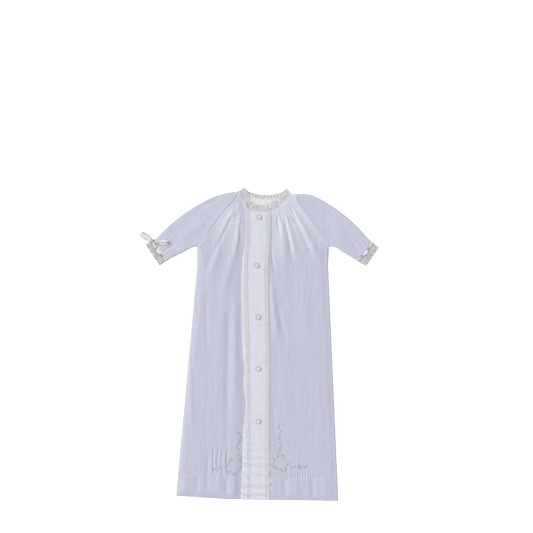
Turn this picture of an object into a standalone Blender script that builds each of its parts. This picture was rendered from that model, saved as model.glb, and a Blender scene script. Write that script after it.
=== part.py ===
"""A baby's daygown of thin cotton, laid flat on its back with its front up.

Blender units are metres. Every size and place below is in millimetres, in the garment's own measure: x runs
to the left sleeve from the line of the buttons, y runs up from the hem to the neck, and z is the height above
the table. Right and left are the wearer's. The finished garment is moved so that its origin is the middle of
its underside.
"""

from collections import namedtuple
from functools import partial

import bmesh
import bpy
import numpy as np

MM = 0.001

# Cloth and layers
WALL = 1.0
GAP = 0.3
SEAM_ROOM = 0.6
BACK_TOP = WALL
FRONT_FACE = BACK_TOP + GAP + WALL
BAND_FACE = FRONT_FACE + GAP + WALL
FOLD_LIMIT = 3.7

# The body of the gown
HEM_DEPTH = 39.0
HEM_STEP = 0.4
LOFT = 1.2
EDGE_LOFT = 0.1
SIDE_CURVE = 14.0
HEM_CURVE = 10.0
LAP_EDGE = 8.0
SEAM_INSET = 3.0
PANEL_COLUMNS = 40
LAP_COLUMNS = 4
BACK_COLUMNS = 14
RAGLAN_ROWS = 12
SIDE_ROWS = 12
NECK_GATHERS = 10
GATHER_HEIGHT = 0.7
GATHER_REACH = 34.0
TUCK_HEIGHT = 0.9
TUCK_BLEND = 8.0

# The sleeves and cuffs, which are flattened tubes
EDGE_ROUND = 3.2
EDGE_WALL = 1.3
EDGE_CROWDING = 0.8
SLEEVE_STATIONS = 13
TOP_POINTS = 20
UNDER_POINTS = 10
CUFF_PUFF = 7.5
CUFF_GATHER = 0.5
CUFF_LIFT = 0.7
CUFF_DROP = 0.5

# The neck
LACE_CLEAR = 0.035
LACE_SPLIT = 0.27
BINDING = (-0.9, -0.05)
BINDING_ENDS = (0.26, 0.74)

# Trimmings
BEADING = (0.12, 0.38)
BUTTON_STEPS = 12
Spot = namedtuple("Spot", "x y")
BUTTONS = (Spot(1.5, 523.5), Spot(-3.0, 434.0), Spot(0, 338.5), Spot(0, 242.5), Spot(0, 145.5))
Turned = namedtuple("Turned", "radius height")
BUTTON_PROFILE = (
    Turned(0, 0), Turned(3.2, 0), Turned(4.3, 0.5), Turned(4.5, 1.1),
    Turned(4.1, 1.7), Turned(3.4, 1.8), Turned(2.7, 1.2), Turned(0, 1.1),
)

Side = namedtuple("Side", "shoulder raglan_1 raglan_2 raglan_3 underarm chest corner")
SIDES = {
    "right": Side((-33, 572.6), (-46, 551), (-62, 535), (-94, 492), (-113.5, 470), (-113, 436), (-152.3, 8)),
    "left": Side((61, 567), (72, 549), (86, 530.5), (116, 487.5), (131.5, 470), (129.5, 436), (148.4, -1.5)),
}

# Sleeve sections from the raglan seam to the cuff: the fold on top and the seam below
Section = namedtuple("Section", "top under")
SLEEVES = {
    "right": (
        Section((-33, 572.6), (-113.5, 470)),
        Section((-75, 564), (-124, 467)),
        Section((-116, 544), (-137, 459.5)),
        Section((-156, 516), (-150, 453)),
        Section((-190.6, 483), (-162, 447.5)),
    ),
    "left": (
        Section((61, 567), (131.5, 470)),
        Section((98, 564.5), (143.5, 467)),
        Section((137, 543.5), (155, 459.5)),
        Section((175, 514), (166, 453)),
        Section((207.2, 480), (177, 446.5)),
    ),
}
CUFF_END = {"right": ((-209.1, 472.7), (-183.2, 433.8)), "left": ((223.9, 467.1), (199.8, 432.0))}

# Neck lace sections, right shoulder to left: the sewn edge and the free edge
Strip = namedtuple("Strip", "seam free")
FRONT_NECK = (
    Strip((-33, 572.6), (-26.5, 579)),
    Strip((-28.1, 560.6), (-17.5, 566)),
    Strip((-19.8, 543.9), (-11.5, 550.5)),
    Strip((-5.6, 536.3), (-1, 546.2)),
    Strip((14.8, 535), (14, 545.6)),
    Strip((33.3, 542), (27, 551.5)),
    Strip((50, 553.5), (42.5, 563.5)),
    Strip((61, 567), (53.8, 577)),
)
BACK_NECK = (
    Strip((-33, 572.6), (-26.5, 579)),
    Strip((-15, 559.8), (-14.8, 569.8)),
    Strip((13, 555), (13, 564.3)),
    Strip((38, 557), (38.9, 568)),
    Strip((61, 567), (53.8, 577)),
)

# Placket sections, neck to hem: the free edge and both laces
Band = namedtuple("Band", "y free_edge lace_right_out lace_right_in lace_left_in lace_left_out")
PLACKET = (
    Band(534.4, -22.8, -22.0, -15.0, 14.5, 24.0),
    Band(481.0, -23.5, -22.5, -15.5, 14.0, 24.0),
    Band(440.0, -28.5, -26.3, -18.5, 11.5, 20.5),
    Band(370.0, -30.5, -26.0, -18.5, 12.0, 20.5),
    Band(287.0, -28.5, -23.5, -16.5, 13.8, 21.8),
    Band(241.0, -24.5, -22.5, -16.0, 14.0, 22.0),
    Band(214.0, -27.0, -21.5, -15.5, 14.0, 22.0),
    Band(178.0, -22.5, -21.2, -15.2, 13.5, 22.2),
    Band(130.0, -27.0, -21.0, -15.0, 12.0, 22.2),
    Band(60.0, -29.0, -21.0, -15.0, 13.0, 22.5),
    Band(1.3, -32.0, -21.0, -15.0, 13.5, 22.8),
)
ROW_REACH = 34.0

# The largest folds: where each starts, bends and ends, its height (a trough is negative) and its half widths
Fold = namedtuple("Fold", "head bend tail height head_width tail_width")
FOLDS = (
    # Right front
    Fold((-37, 568), (-81, 516), (-110, 466), 1.3, 4.5, 3.5),
    Fold((-41, 542), (-70, 481), (-94, 385), 1.6, 4.5, 10),
    Fold((-30, 535), (-41, 470), (-74, 348), 1.3, 3.5, 9),
    Fold((-45, 531), (-76, 468), (-104, 414), -1.5, 3, 6),
    Fold((-27, 531), (-33, 503), (-28, 459), -1.1, 2.5, 4),
    Fold((-54, 337), (-57, 185), (-58, 33), -1.3, 5, 4),
    Fold((-39, 388), (-43, 240), (-44, 92), 0.8, 8, 8),
    Fold((-67, 370), (-76, 222), (-81, 92), 0.6, 12, 10),
    Fold((-94, 392), (-96, 324), (-92, 255), -0.5, 4, 4),
    Fold((-126, 281), (-120, 240), (-113, 200), -0.5, 4, 3),
    Fold((-130, 300), (-126, 204), (-120, 102), 0.6, 5, 5),
    Fold((-107, 451), (-113, 398), (-120, 324), -0.7, 7, 6),
    Fold((-92, 83), (-94, 41), (-94, 2), -0.8, 3.5, 4),
    Fold((-72, 56), (-72, 28), (-72, 2), 0.8, 5, 6),
    Fold((-46, 44), (-44, 22), (-44, 2), 0.8, 6, 8),
    # Left front
    Fold((63, 562), (98, 514), (130, 464), 1.3, 4.5, 3.5),
    Fold((65, 538), (89, 492), (118, 426), 1.6, 4.5, 10),
    Fold((50, 531), (59, 496), (76, 440), 1.2, 3.5, 7),
    Fold((43, 518), (48, 472), (50, 422), 1.0, 4, 8),
    Fold((24, 405), (31, 342), (39, 274), 1.2, 6, 5),
    Fold((37, 364), (46, 314), (56, 278), -0.7, 4, 4),
    Fold((78, 398), (89, 314), (100, 213), 0.5, 10, 12),
    Fold((63, 531), (85, 488), (111, 426), -1.5, 3, 6),
    Fold((48, 527), (57, 485), (67, 426), -1.3, 2.5, 4),
    Fold((35, 524), (37, 507), (41, 485), -1.0, 2.5, 2.5),
    Fold((22, 475), (26, 446), (35, 407), -1.0, 3, 3.5),
    Fold((85, 128), (105, 122), (128, 115), -0.5, 3, 3),
    Fold((26, 181), (35, 111), (48, 63), -0.6, 5, 6),
    Fold((70, 41), (72, 22), (74, 2), 0.6, 6, 7),
    # Sleeves
    Fold((-67, 562), (-98, 544), (-126, 525), -0.6, 4, 6),
    Fold((-98, 514), (-126, 496), (-152, 475), 0.7, 9, 9),
    Fold((-154, 474), (-166, 466), (-178, 458), -0.9, 4, 2.5),
    Fold((72, 562), (102, 549), (133, 533), -0.6, 4, 6),
    Fold((124, 514), (152, 496), (174, 475), 0.7, 9, 9),
    Fold((174, 475), (183, 466), (192, 457), -0.9, 4, 2.5),
)

# Released tucks above the hem: where they lie across, and how far up they run
Tucks = namedtuple("Tucks", "x_from x_to y_from y_to")
TUCKS = {"right": Tucks(-93, -53, 36, 84), "left": Tucks(43, 100, 37, 58)}

# The bow: ribbon standing on edge, each stretch leaving the knot at an angle and lifted clear of the next
Ribbon = namedtuple("Ribbon", "angle length spread lift height")
BOW_KNOT = (-196.5, 477.5)
KNOT_RADII = (3.0, 2.4, 1.9)
BOW_LOOPS = (Ribbon(137, 23, 9.0, 0.22, 2.8), Ribbon(4, 27, 7.0, 0.37, 2.8))
BOW_ENDS = (Ribbon(-32, 13, 0, 0.53, 2.1), Ribbon(-84, 11, 0, 0.68, 2.1))
BOW_ROOT = 0.9
BOW_SEAT = 0.1
END_BEND = 18.0

COTTON = ("cotton", (0.62, 0.63, 0.74, 1), 0.85)
LACE = ("lace", (0.70, 0.68, 0.63, 1), 0.85)
SATIN = ("satin", (0.88, 0.88, 0.90, 1), 0.30)
PEARL = ("pearl", (0.78, 0.78, 0.82, 1), 0.22)


def blend(value, low, high):
    """Smooth step from 0 at low to 1 at high."""
    t = np.clip((value - low) / (high - low), 0, 1)
    return t * t * (3 - 2 * t)


def smooth(rows, per_span=14):
    """A smooth curve through the rows of a table, as many close points."""
    rows = np.array(rows, float)
    ends = np.vstack([2 * rows[0] - rows[1], rows, 2 * rows[-1] - rows[-2]])
    t = np.linspace(0, 1, per_span, endpoint=False)[:, None]
    spans = []
    for a, b, c, d in zip(ends, ends[1:], ends[2:], ends[3:]):
        spans.append(b + t * ((c - a) + t * ((2 * a - 5 * b + 4 * c - d) + t * (3 * b - a - 3 * c + d))) / 2)
    return np.vstack(spans + [rows[-1:]])


def along(points, fractions):
    """Points at the given fractions of a line's length."""
    steps = np.linalg.norm(np.diff(points, axis=0), axis=1)
    length = np.concatenate([[0], np.cumsum(steps)])
    where = np.asarray(fractions, float) * length[-1]
    return np.stack([np.interp(where, length, axis) for axis in points.T], axis=1)


def shifted(line, distance):
    """The line moved sideways, to its left for a positive distance."""
    slope = np.gradient(line, axis=0)
    slope /= np.linalg.norm(slope, axis=1)[:, None]
    return line + distance * np.stack([-slope[:, 1], slope[:, 0]], axis=1)


def patch(top, bottom, first, last, u, v):
    """A grid between four edges: top and bottom run along u, first and last run down along v."""
    u, v = u[None, :, None], v[:, None, None]
    across = (1 - v) * top[None] + v * bottom[None]
    down = (1 - u) * first[:, None] + u * last[:, None]
    corners = (1 - v) * ((1 - u) * top[0] + u * top[-1]) + v * ((1 - u) * bottom[0] + u * bottom[-1])
    return across + down - corners


def fold_relief(x, y):
    """How far the folds lift the front at each point."""
    total = np.zeros(np.shape(x))
    where = np.stack([np.ravel(x), np.ravel(y)], axis=1)
    for fold in FOLDS:
        line = along(smooth((fold.head, fold.bend, fold.tail)), np.linspace(0, 1, 40))
        away = np.linalg.norm(where[:, None] - line[None], axis=2)
        nearest = away.argmin(axis=1)
        t = nearest / (len(line) - 1)
        width = fold.head_width + (fold.tail_width - fold.head_width) * t
        fade = blend(t, 0, 0.12) * blend(1 - t, 0, 0.4)
        bump = fold.height * fade * np.exp(-((away.min(axis=1) / width) ** 2))
        total += bump.reshape(total.shape)
    return total


def side_x(side, y):
    """The side seam's x at a height."""
    chest, corner = SIDES[side].chest, SIDES[side].corner
    return np.interp(y, (corner[1], chest[1]), (corner[0], chest[0]))


def band_x(column, y):
    """One of the placket's lines at a height."""
    rows = smooth([(row.y, getattr(row, column)) for row in PLACKET])[::-1]
    return np.interp(y, rows[:, 0], rows[:, 1])


def hem_y(x):
    """The hem's lower edge, a little higher at the right side seam."""
    return np.interp(x, (-152.3, -60, 148.4), (8.0, 2.0, -1.5))


def clear_of_band(side, x, y):
    """From 0 where the front lies under the button band, or meets it, to 1 where its folds are free."""
    if side == "right":
        edge = np.minimum.reduce([band_x("free_edge", y + step) for step in (-ROW_REACH, 0, ROW_REACH)])
        return blend(edge - x, 3.5, 10)
    return blend(x - band_x("lace_left_out", y), 0.5, 6)


def loft(side, x, y):
    """How far a front stands above its lowest face, folds included."""
    below_arm = blend(y, 470, 455)
    from_side = np.minimum(x - side_x("right", y), side_x("left", y) - x)
    sides = 1 - below_arm * (1 - blend(from_side, 0, SIDE_CURVE))
    hem = blend(y - hem_y(x), 0, HEM_CURVE)
    level = EDGE_LOFT + (LOFT - EDGE_LOFT) * sides * hem
    level += HEM_STEP * blend(y - hem_y(x), HEM_DEPTH + 1.5, HEM_DEPTH - 1.5)
    free = clear_of_band(side, x, y)
    level = level * free if side == "right" else np.minimum(level, BAND_FACE - FRONT_FACE + free)
    return level + fold_relief(x, y) * sides * free


def new_object(name, finish, mesh):
    """An object of its own material from a bmesh."""
    data = bpy.data.meshes.new(name)
    mesh.to_mesh(data)
    mesh.free()
    material = bpy.data.materials.new(f"{name}_{finish[0]}")
    material.use_nodes = True
    shader = material.node_tree.nodes["Principled BSDF"]
    shader.inputs["Base Color"].default_value = finish[1]
    shader.inputs["Roughness"].default_value = finish[2]
    data.materials.append(material)
    data.shade_smooth()
    data.set_sharp_from_angle(angle=0.8)
    piece = bpy.data.objects.new(name, data)
    bpy.context.collection.objects.link(piece)
    return piece


def shell(name, finish, outer, inner, ring=False):
    """A closed solid between two grids of points, whose columns close into a ring or end at two edges."""
    rows, columns = outer.shape[:2]
    mesh = bmesh.new()
    face_up = [[mesh.verts.new(point * MM) for point in row] for row in outer]
    face_down = [[mesh.verts.new(point * MM) for point in row] for row in inner]
    spans = columns if ring else columns - 1
    for i in range(rows - 1):
        for j in range(spans):
            k = (j + 1) % columns
            mesh.faces.new([face_up[i][j], face_up[i + 1][j], face_up[i + 1][k], face_up[i][k]])
            mesh.faces.new([face_down[i][j], face_down[i][k], face_down[i + 1][k], face_down[i + 1][j]])
    for i in (0, rows - 1):
        for j in range(spans):
            k = (j + 1) % columns
            mesh.faces.new([face_up[i][j], face_up[i][k], face_down[i][k], face_down[i][j]])
    if not ring:
        for j in (0, columns - 1):
            for i in range(rows - 1):
                mesh.faces.new([face_up[i][j], face_up[i + 1][j], face_down[i + 1][j], face_down[i][j]])
    bmesh.ops.triangulate(mesh, faces=mesh.faces[:], quad_method="FIXED")
    bmesh.ops.recalc_face_normals(mesh, faces=mesh.faces[:])
    return new_object(name, finish, mesh)


def layer(name, finish, grid, face, wall=WALL):
    """A wall under the grid's points, whose outer face is at a height for each point."""
    face = np.broadcast_to(face, grid.shape[:2])
    outer = np.dstack([grid, face])
    return shell(name, finish, outer, outer - (0, 0, wall))


def side_edge(side, rows_above, rows_below, outward):
    """The raglan seam, then the side seam, down one side of the body."""
    above = along(shifted(raglan_line(side), outward), rows_above)
    below = along(np.array([above[-1], SIDES[side].chest, SIDES[side].corner]), rows_below)
    return np.vstack([above, below[1:]])


def raglan_line(side):
    """The seam between body and sleeve, from the neck to the underarm."""
    edge = SIDES[side]
    return smooth([edge.shoulder, edge.raglan_1, edge.raglan_2, edge.raglan_3, edge.underarm])


def row_places():
    """Shares of the raglan seam and of the side seam where a front's rows start, closest near the hem."""
    near_hem = (0.8, 0.87, 0.92, 0.96, 1.0)
    spread = np.linspace(0, near_hem[0], SIDE_ROWS + 2 - len(near_hem))
    return np.linspace(0, 1, RAGLAN_ROWS + 1), np.concatenate([spread[:-1], near_hem])


def middle_rows(top_y, arm_y, bottom_y):
    """The same rows' heights at the middle of the body, closest at the neck."""
    above, below = row_places()
    return np.concatenate([top_y + (arm_y - top_y) * above**1.15, arm_y + (bottom_y - arm_y) * below[1:]])


def right_edges():
    """Neck and hem points of the right front, from under the placket out to the side."""
    seam = smooth([row.seam for row in FRONT_NECK])
    gathered = along(seam[seam[:, 0] <= PLACKET[0].free_edge + 3], np.linspace(0, 1, PANEL_COLUMNS + 1))
    under_band = seam[(seam[:, 0] > gathered[-1, 0] + 1) & (seam[:, 0] < LAP_EDGE)]
    lap = np.vstack([gathered[-1:], under_band, [(LAP_EDGE, neck_y(LAP_EDGE))]])
    lap = along(lap, np.linspace(0, 1, LAP_COLUMNS + 1))
    wide_x = np.linspace(SIDES["right"].corner[0], PLACKET[-1].free_edge + 3, PANEL_COLUMNS + 1)
    lap_x = np.linspace(wide_x[-1], LAP_EDGE, LAP_COLUMNS + 1)
    hem_x = np.concatenate([wide_x, lap_x[1:]])[::-1]
    return np.vstack([gathered, lap[1:]])[::-1], hem_x


def left_edges():
    """Neck and hem points of the left front, from the placket's seam out to the side."""
    seam = smooth([row.seam for row in FRONT_NECK])
    first_x = PLACKET[0].lace_left_out - SEAM_INSET + SEAM_ROOM
    neck = np.vstack([[(first_x, neck_y(first_x))], seam[seam[:, 0] > first_x]])
    last_x = PLACKET[-1].lace_left_out - SEAM_INSET + SEAM_ROOM
    hem_x = np.linspace(last_x, SIDES["left"].corner[0], PANEL_COLUMNS + 1)
    return along(neck, np.linspace(0, 1, PANEL_COLUMNS + 1)), hem_x


def front_grid(side):
    """Points of a front: rows from neck to hem, columns from the middle out."""
    right = side == "right"
    top, hem_x = right_edges() if right else left_edges()
    outer = side_edge(side, *row_places(), SEAM_ROOM if right else -SEAM_ROOM)
    rows_y = middle_rows(top[0, 1], 452.0, hem_y(hem_x[0]))
    inner_x = np.full(len(rows_y), LAP_EDGE) if right else band_seam(rows_y) + SEAM_ROOM
    inner = np.stack([inner_x, rows_y], axis=1)
    bottom = np.stack([hem_x, hem_y(hem_x)], axis=1)
    top[-1], inner[0], inner[-1], bottom[-1] = outer[0], top[0], bottom[0], outer[-1]
    u = (hem_x - hem_x[0]) / (hem_x[-1] - hem_x[0])
    v = (rows_y - rows_y[0]) / (rows_y[-1] - rows_y[0])
    return patch(top, bottom, inner, outer, u, v)


def front(side):
    """A gathered front: its neck gathers, its folds, and the released tucks above the hem."""
    grid = front_grid(side)
    x, y = grid[..., 0], grid[..., 1]
    column = np.arange(grid.shape[1]) - (LAP_COLUMNS if side == "right" else 0)
    down = np.linalg.norm(grid - grid[:1], axis=2)
    wave = np.cos(2 * np.pi * column * NECK_GATHERS / PANEL_COLUMNS)
    gathers = GATHER_HEIGHT * wave * blend(down, GATHER_REACH, 0)
    gathers *= blend(np.minimum(column, PANEL_COLUMNS - column), -0.5, 3)
    tuck = TUCKS[side]
    across = blend(x, tuck.x_from, tuck.x_from + TUCK_BLEND) * blend(x, tuck.x_to, tuck.x_to - TUCK_BLEND)
    up = blend(y, tuck.y_from - 2, tuck.y_from + 3) * blend(y, tuck.y_to, (tuck.y_from + tuck.y_to) / 2)
    tucks = TUCK_HEIGHT * across * up * (column % 2)
    height = loft(side, x, y) + gathers * clear_of_band(side, x, y) + tucks
    layer(f"front_{side}", COTTON, grid, FRONT_FACE + np.clip(height, 0, FOLD_LIMIT))


def back():
    """The back panel, flat on the table, up to its neck edge."""
    neck = shifted(smooth([row.seam for row in BACK_NECK]), -GAP / 2)
    top = along(neck, np.linspace(0, 1, BACK_COLUMNS + 1))
    rows_above, rows_below = np.linspace(0, 1, 13), np.linspace(0, 1, 6)
    first = side_edge("right", rows_above, rows_below, SEAM_ROOM)
    last = side_edge("left", rows_above, rows_below, -SEAM_ROOM)
    top[0], top[-1] = first[0], last[0]
    bottom_x = np.linspace(first[-1, 0], last[-1, 0], BACK_COLUMNS + 1)
    bottom = np.stack([bottom_x, hem_y(bottom_x)], axis=1)
    u = np.linspace(0, 1, BACK_COLUMNS + 1)
    v = (first[:, 1] - first[0, 1]) / (first[-1, 1] - first[0, 1])
    layer("back", COTTON, patch(top, bottom, first, last, u, v), BACK_TOP)


def across_places(count=TOP_POINTS):
    """Where a tube's columns lie across it, close together at its two edges."""
    t = np.linspace(0, 1, count + 1)
    return t - EDGE_CROWDING * np.sin(2 * np.pi * t) / (2 * np.pi)


def tube(name, finish, grid, relief):
    """A flattened tube open at both ends, from a grid whose rows are sections across it."""
    widths = np.linalg.norm(grid[:, -1] - grid[:, 0], axis=1)
    places = across_places()
    edge = BACK_TOP + GAP / 2

    def half(inset, level, count):
        """One wall's points across the tube; level gives its height away from the rounded edges."""
        rows = []
        for row, width, lift in zip(grid, widths, relief):
            share = across_places(count)
            at = inset / width + (1 - 2 * inset / width) * share
            points = np.stack([np.interp(at, places, axis) for axis in row.T], axis=1)
            near = np.minimum(share, 1 - share) * (width - 2 * inset) / EDGE_ROUND
            rounded = np.sqrt(1 - (1 - np.clip(near, 0, 1)) ** 2)
            height = edge + (level(np.interp(at, places, lift)) - edge) * rounded
            rows.append(np.column_stack([points, height]))
        return np.array(rows)

    def ring(inset, wall):
        """A whole wall, over the top and back underneath."""
        over = half(inset, lambda lift: FRONT_FACE + lift - wall, TOP_POINTS)
        under = half(inset, lambda lift: wall, UNDER_POINTS)
        return np.concatenate([over, under[:, -2:0:-1]], axis=1)

    shell(name, finish, ring(0, 0), ring(EDGE_WALL, WALL), ring=True)


def cuff_line(side, outward):
    """The line where the sleeve is gathered into its cuff, bowed towards the hand."""
    top, under = (np.array(point, float) for point in SLEEVES[side][-1])
    v = across_places()[:, None]
    way = np.array([under[1] - top[1], top[0] - under[0]])
    way /= np.linalg.norm(way)
    away = np.array(CUFF_END[side][0]) - top
    way *= np.sign(way @ away)
    return top + (under - top) * v + way * (CUFF_PUFF * np.sin(np.pi * v) + outward)


def sleeve(side):
    """A raglan sleeve as one flattened tube, puffed where its end is gathered."""
    rows = SLEEVES[side]
    v = across_places()
    u = np.linspace(0, 1, SLEEVE_STATIONS)
    raglan = along(raglan_line(side), v)
    top = along(smooth([row.top for row in rows]), u)
    under = along(smooth([row.under for row in rows]), u)
    grid = patch(raglan, cuff_line(side, 0), top, under, v, u)
    relief = LOFT + fold_relief(grid[..., 0], grid[..., 1])
    wave = (-1.0) ** np.arange(TOP_POINTS + 1)[None, :] * blend(u, 0.8, 1)[:, None]
    relief = np.clip(relief + CUFF_GATHER * wave, 0, FOLD_LIMIT)
    tube(f"sleeve_{side}", COTTON, grid, relief)


def cuff_grid(side, places):
    """Points of a cuff from the gathered sleeve end to its lace edge."""
    inner = cuff_line(side, GAP)
    v = across_places()[:, None]
    top, under = (np.array(point) for point in CUFF_END[side])
    outer = top + (under - top) * v
    u = np.asarray(places)[:, None, None]
    return (1 - u) * inner + u * outer


def cuff_lift(places):
    """The cuff's lift above its lowest face, from the sleeve to its edge."""
    return np.tile(CUFF_LIFT - CUFF_DROP * np.asarray(places)[:, None], TOP_POINTS + 1)


def cuff(side):
    """Beading and lace sewn round the sleeve end, and the ribbon's stretch that shows in the beading."""
    places = (0, *BEADING, 0.7, 1)
    tube(f"cuff_lace_{side}", LACE, cuff_grid(side, places), cuff_lift(places))
    middle = slice(3, TOP_POINTS - 2)
    face = FRONT_FACE + cuff_lift(BEADING)[:, middle] + GAP + WALL
    layer(f"cuff_ribbon_{side}", SATIN, cuff_grid(side, BEADING)[:, middle], face)


def bow():
    """A tied bow lying on the right cuff: two loops, two ends and the knot."""
    floor = FRONT_FACE + CUFF_LIFT + WALL + GAP + BOW_SEAT
    pieces = [ribbon_on_edge(part, loop_path(part), floor) for part in BOW_LOOPS]
    pieces += [ribbon_on_edge(part, end_path(part), floor) for part in BOW_ENDS]
    knot = bmesh.new()
    bmesh.ops.create_uvsphere(knot, u_segments=10, v_segments=6, radius=MM)
    bmesh.ops.scale(knot, vec=KNOT_RADII, verts=knot.verts[:])
    middle = np.array([*BOW_KNOT, floor + KNOT_RADII[2]])
    bmesh.ops.translate(knot, vec=middle * MM, verts=knot.verts[:])
    whole = new_object("cuff_bow_right", SATIN, knot)
    for piece in pieces:
        joined = whole.modifiers.new(piece.name, "BOOLEAN")
        joined.operation = "UNION"
        joined.object = piece
        piece.hide_render = True
        piece.display_type = "WIRE"


def ribbon_on_edge(part, path, floor):
    """A stretch of ribbon standing on edge along a path over the table."""
    sides = []
    for line in (shifted(path, WALL / 2), shifted(path, -WALL / 2)):
        low = np.column_stack([line, np.full(len(line), floor + part.lift)])
        sides.append(np.stack([low, low + (0, 0, part.height)], axis=1))
    return shell(f"ribbon_{part.angle}", SATIN, *sides)


def loop_path(loop):
    """Out from the knot and back round one loop."""
    t = np.linspace(0, 1, 21)
    out = loop.length * np.sin(np.pi * t)
    side = -loop.spread / 2 * np.sin(2 * np.pi * t) - BOW_ROOT * np.cos(np.pi * t)
    turn = np.radians(loop.angle)
    x = out * np.cos(turn) - side * np.sin(turn)
    y = out * np.sin(turn) + side * np.cos(turn)
    return np.stack([x, y], axis=1) + BOW_KNOT


def end_path(end):
    """Straight out of the knot with a slight bend."""
    t = np.linspace(0, 1, 7)
    turn = np.radians(end.angle + END_BEND * t)
    return np.stack([end.length * t * np.cos(turn), end.length * t * np.sin(turn)], axis=1) + BOW_KNOT


def neck_y(x):
    """The front neck seam's height at an x."""
    seam = smooth([row.seam for row in FRONT_NECK])
    return np.interp(x, seam[:, 0], seam[:, 1])


def band_grid(first, last, columns):
    """Points of a strip down the placket between two of its lines."""
    y = np.concatenate([np.linspace(534.2, 214, 14), np.linspace(196, 1.6, 8)])
    share = np.linspace(0, 1, columns)[None, :]
    x = first(y)[:, None] * (1 - share) + last(y)[:, None] * share
    grid = np.dstack([x, np.tile(y[:, None], columns)])
    grid[0, :, 1] = neck_y(grid[0, :, 0]) - GAP
    grid[-1, :, 1] = hem_y(grid[-1, :, 0])
    return grid


def band_seam(y):
    """Where the placket is sewn to the left front, just inside its lace."""
    return band_x("lace_left_out", y) - SEAM_INSET


def placket():
    """The button band, whose free edge swells past its lace, and the lace down each side."""
    line = {column: partial(band_x, column) for column in Band._fields[1:]}
    layer("placket", COTTON, band_grid(line["free_edge"], band_seam, 8), BAND_FACE)
    for side, outer, inner in (("right", "out", "in"), ("left", "in", "out")):
        edges = (line[f"lace_{side}_{outer}"], line[f"lace_{side}_{inner}"])
        layer(f"placket_lace_{side}", LACE, band_grid(*edges, 3), BAND_FACE + GAP + WALL)


def neck_strip(name, rows, finish, across, face, start, stop, columns=3, count=15):
    """A strip along the neck between two shares of the lace sections' width."""
    seam, free = smooth([row.seam for row in rows]), smooth([row.free for row in rows])
    places = np.linspace(start, stop, count)
    seam, free = along(seam, places), along(free, places)
    share = np.linspace(*across, columns)[None, :, None]
    grid = seam[:, None] * (1 - share) + free[:, None] * share
    layer(name, finish, grid, face(places)[:, None])


def neck():
    """The lace round the neck, folded at both shoulders, and the binding inside the back neck."""
    def over_binding(places):
        """The front lace rises over the binding and lies low at the shoulders."""
        rise = blend(places, 0.02, 0.2) * blend(places, 0.98, 0.8)
        return FRONT_FACE + 0.1 + (BAND_FACE - FRONT_FACE) * rise

    def level(height):
        """A strip that lies flat at one height."""
        return lambda places: np.full(len(places), height)

    width = (LACE_CLEAR, 1)
    seam = LACE_SPLIT - 0.004
    neck_strip("neck_lace_front_right", FRONT_NECK, LACE, width, over_binding, 0.012, seam, count=8)
    neck_strip("neck_lace_front_left", FRONT_NECK, LACE, width, over_binding, LACE_SPLIT, 0.988, count=18)
    neck_strip("neck_lace_back", BACK_NECK, LACE, width, level(BACK_TOP), 0.012, 0.988, count=17)
    neck_strip("neck_binding_back", BACK_NECK, COTTON, BINDING, level(FRONT_FACE), *BINDING_ENDS, count=11)


def button(number, spot):
    """A small turned button with a raised rim and a shallow dish."""
    mesh = bmesh.new()
    points = [mesh.verts.new((row.radius * MM, 0, row.height * MM)) for row in BUTTON_PROFILE]
    edges = [mesh.edges.new(pair) for pair in zip(points, points[1:])]
    whole = {"axis": (0, 0, 1), "angle": 2 * np.pi, "steps": BUTTON_STEPS, "use_merge": True}
    bmesh.ops.spin(mesh, geom=points + edges, **whole)
    bmesh.ops.remove_doubles(mesh, verts=mesh.verts[:], dist=0.00001)
    bmesh.ops.recalc_face_normals(mesh, faces=mesh.faces[:])
    piece = new_object(f"button_{number}", PEARL, mesh)
    piece.location = (spot.x * MM, spot.y * MM, (BAND_FACE + GAP) * MM)


def centre_on_table():
    """Puts the middle of the garment's underside at the origin, by way of one parent."""
    everything = list(bpy.data.objects)
    pieces = [piece for piece in everything if not piece.hide_render]
    bpy.context.view_layer.update()
    depsgraph = bpy.context.evaluated_depsgraph_get()
    corners = []
    for piece in pieces:
        seen = piece.evaluated_get(depsgraph)
        mesh = seen.to_mesh()
        corners += [seen.matrix_world @ vertex.co for vertex in mesh.vertices]
        seen.to_mesh_clear()
    corners = np.array(corners)
    low, high = corners.min(axis=0), corners.max(axis=0)
    holder = bpy.data.objects.new("daygown", None)
    bpy.context.collection.objects.link(holder)
    for piece in everything:
        piece.parent = holder
    holder.location = (-(low[0] + high[0]) / 2, -(low[1] + high[1]) / 2, -low[2])


def build():
    """Makes every piece, then centres the garment."""
    for old in list(bpy.data.objects):
        bpy.data.objects.remove(old, do_unlink=True)
    back()
    for side in SIDES:
        front(side)
        sleeve(side)
        cuff(side)
    placket()
    neck()
    bow()
    for number, spot in enumerate(BUTTONS, start=1):
        button(number, spot)
    centre_on_table()


build()
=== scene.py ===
"""A baby's daygown of thin cotton batiste, laid flat on its back on a pale table, seen from straight above.

Sizes are in garment millimetres: x runs to the wearer's left from the line of the buttons, y up from the hem
to the neck, z up from the table. Finished pieces are in metres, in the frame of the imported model.
"""

from __future__ import annotations

import logging
from dataclasses import dataclass, field
from enum import Enum
from functools import cache
from typing import NamedTuple, Optional, Sequence, Union

import bpy
import numpy as np
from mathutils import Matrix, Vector
from mathutils.bvhtree import BVHTree


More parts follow.
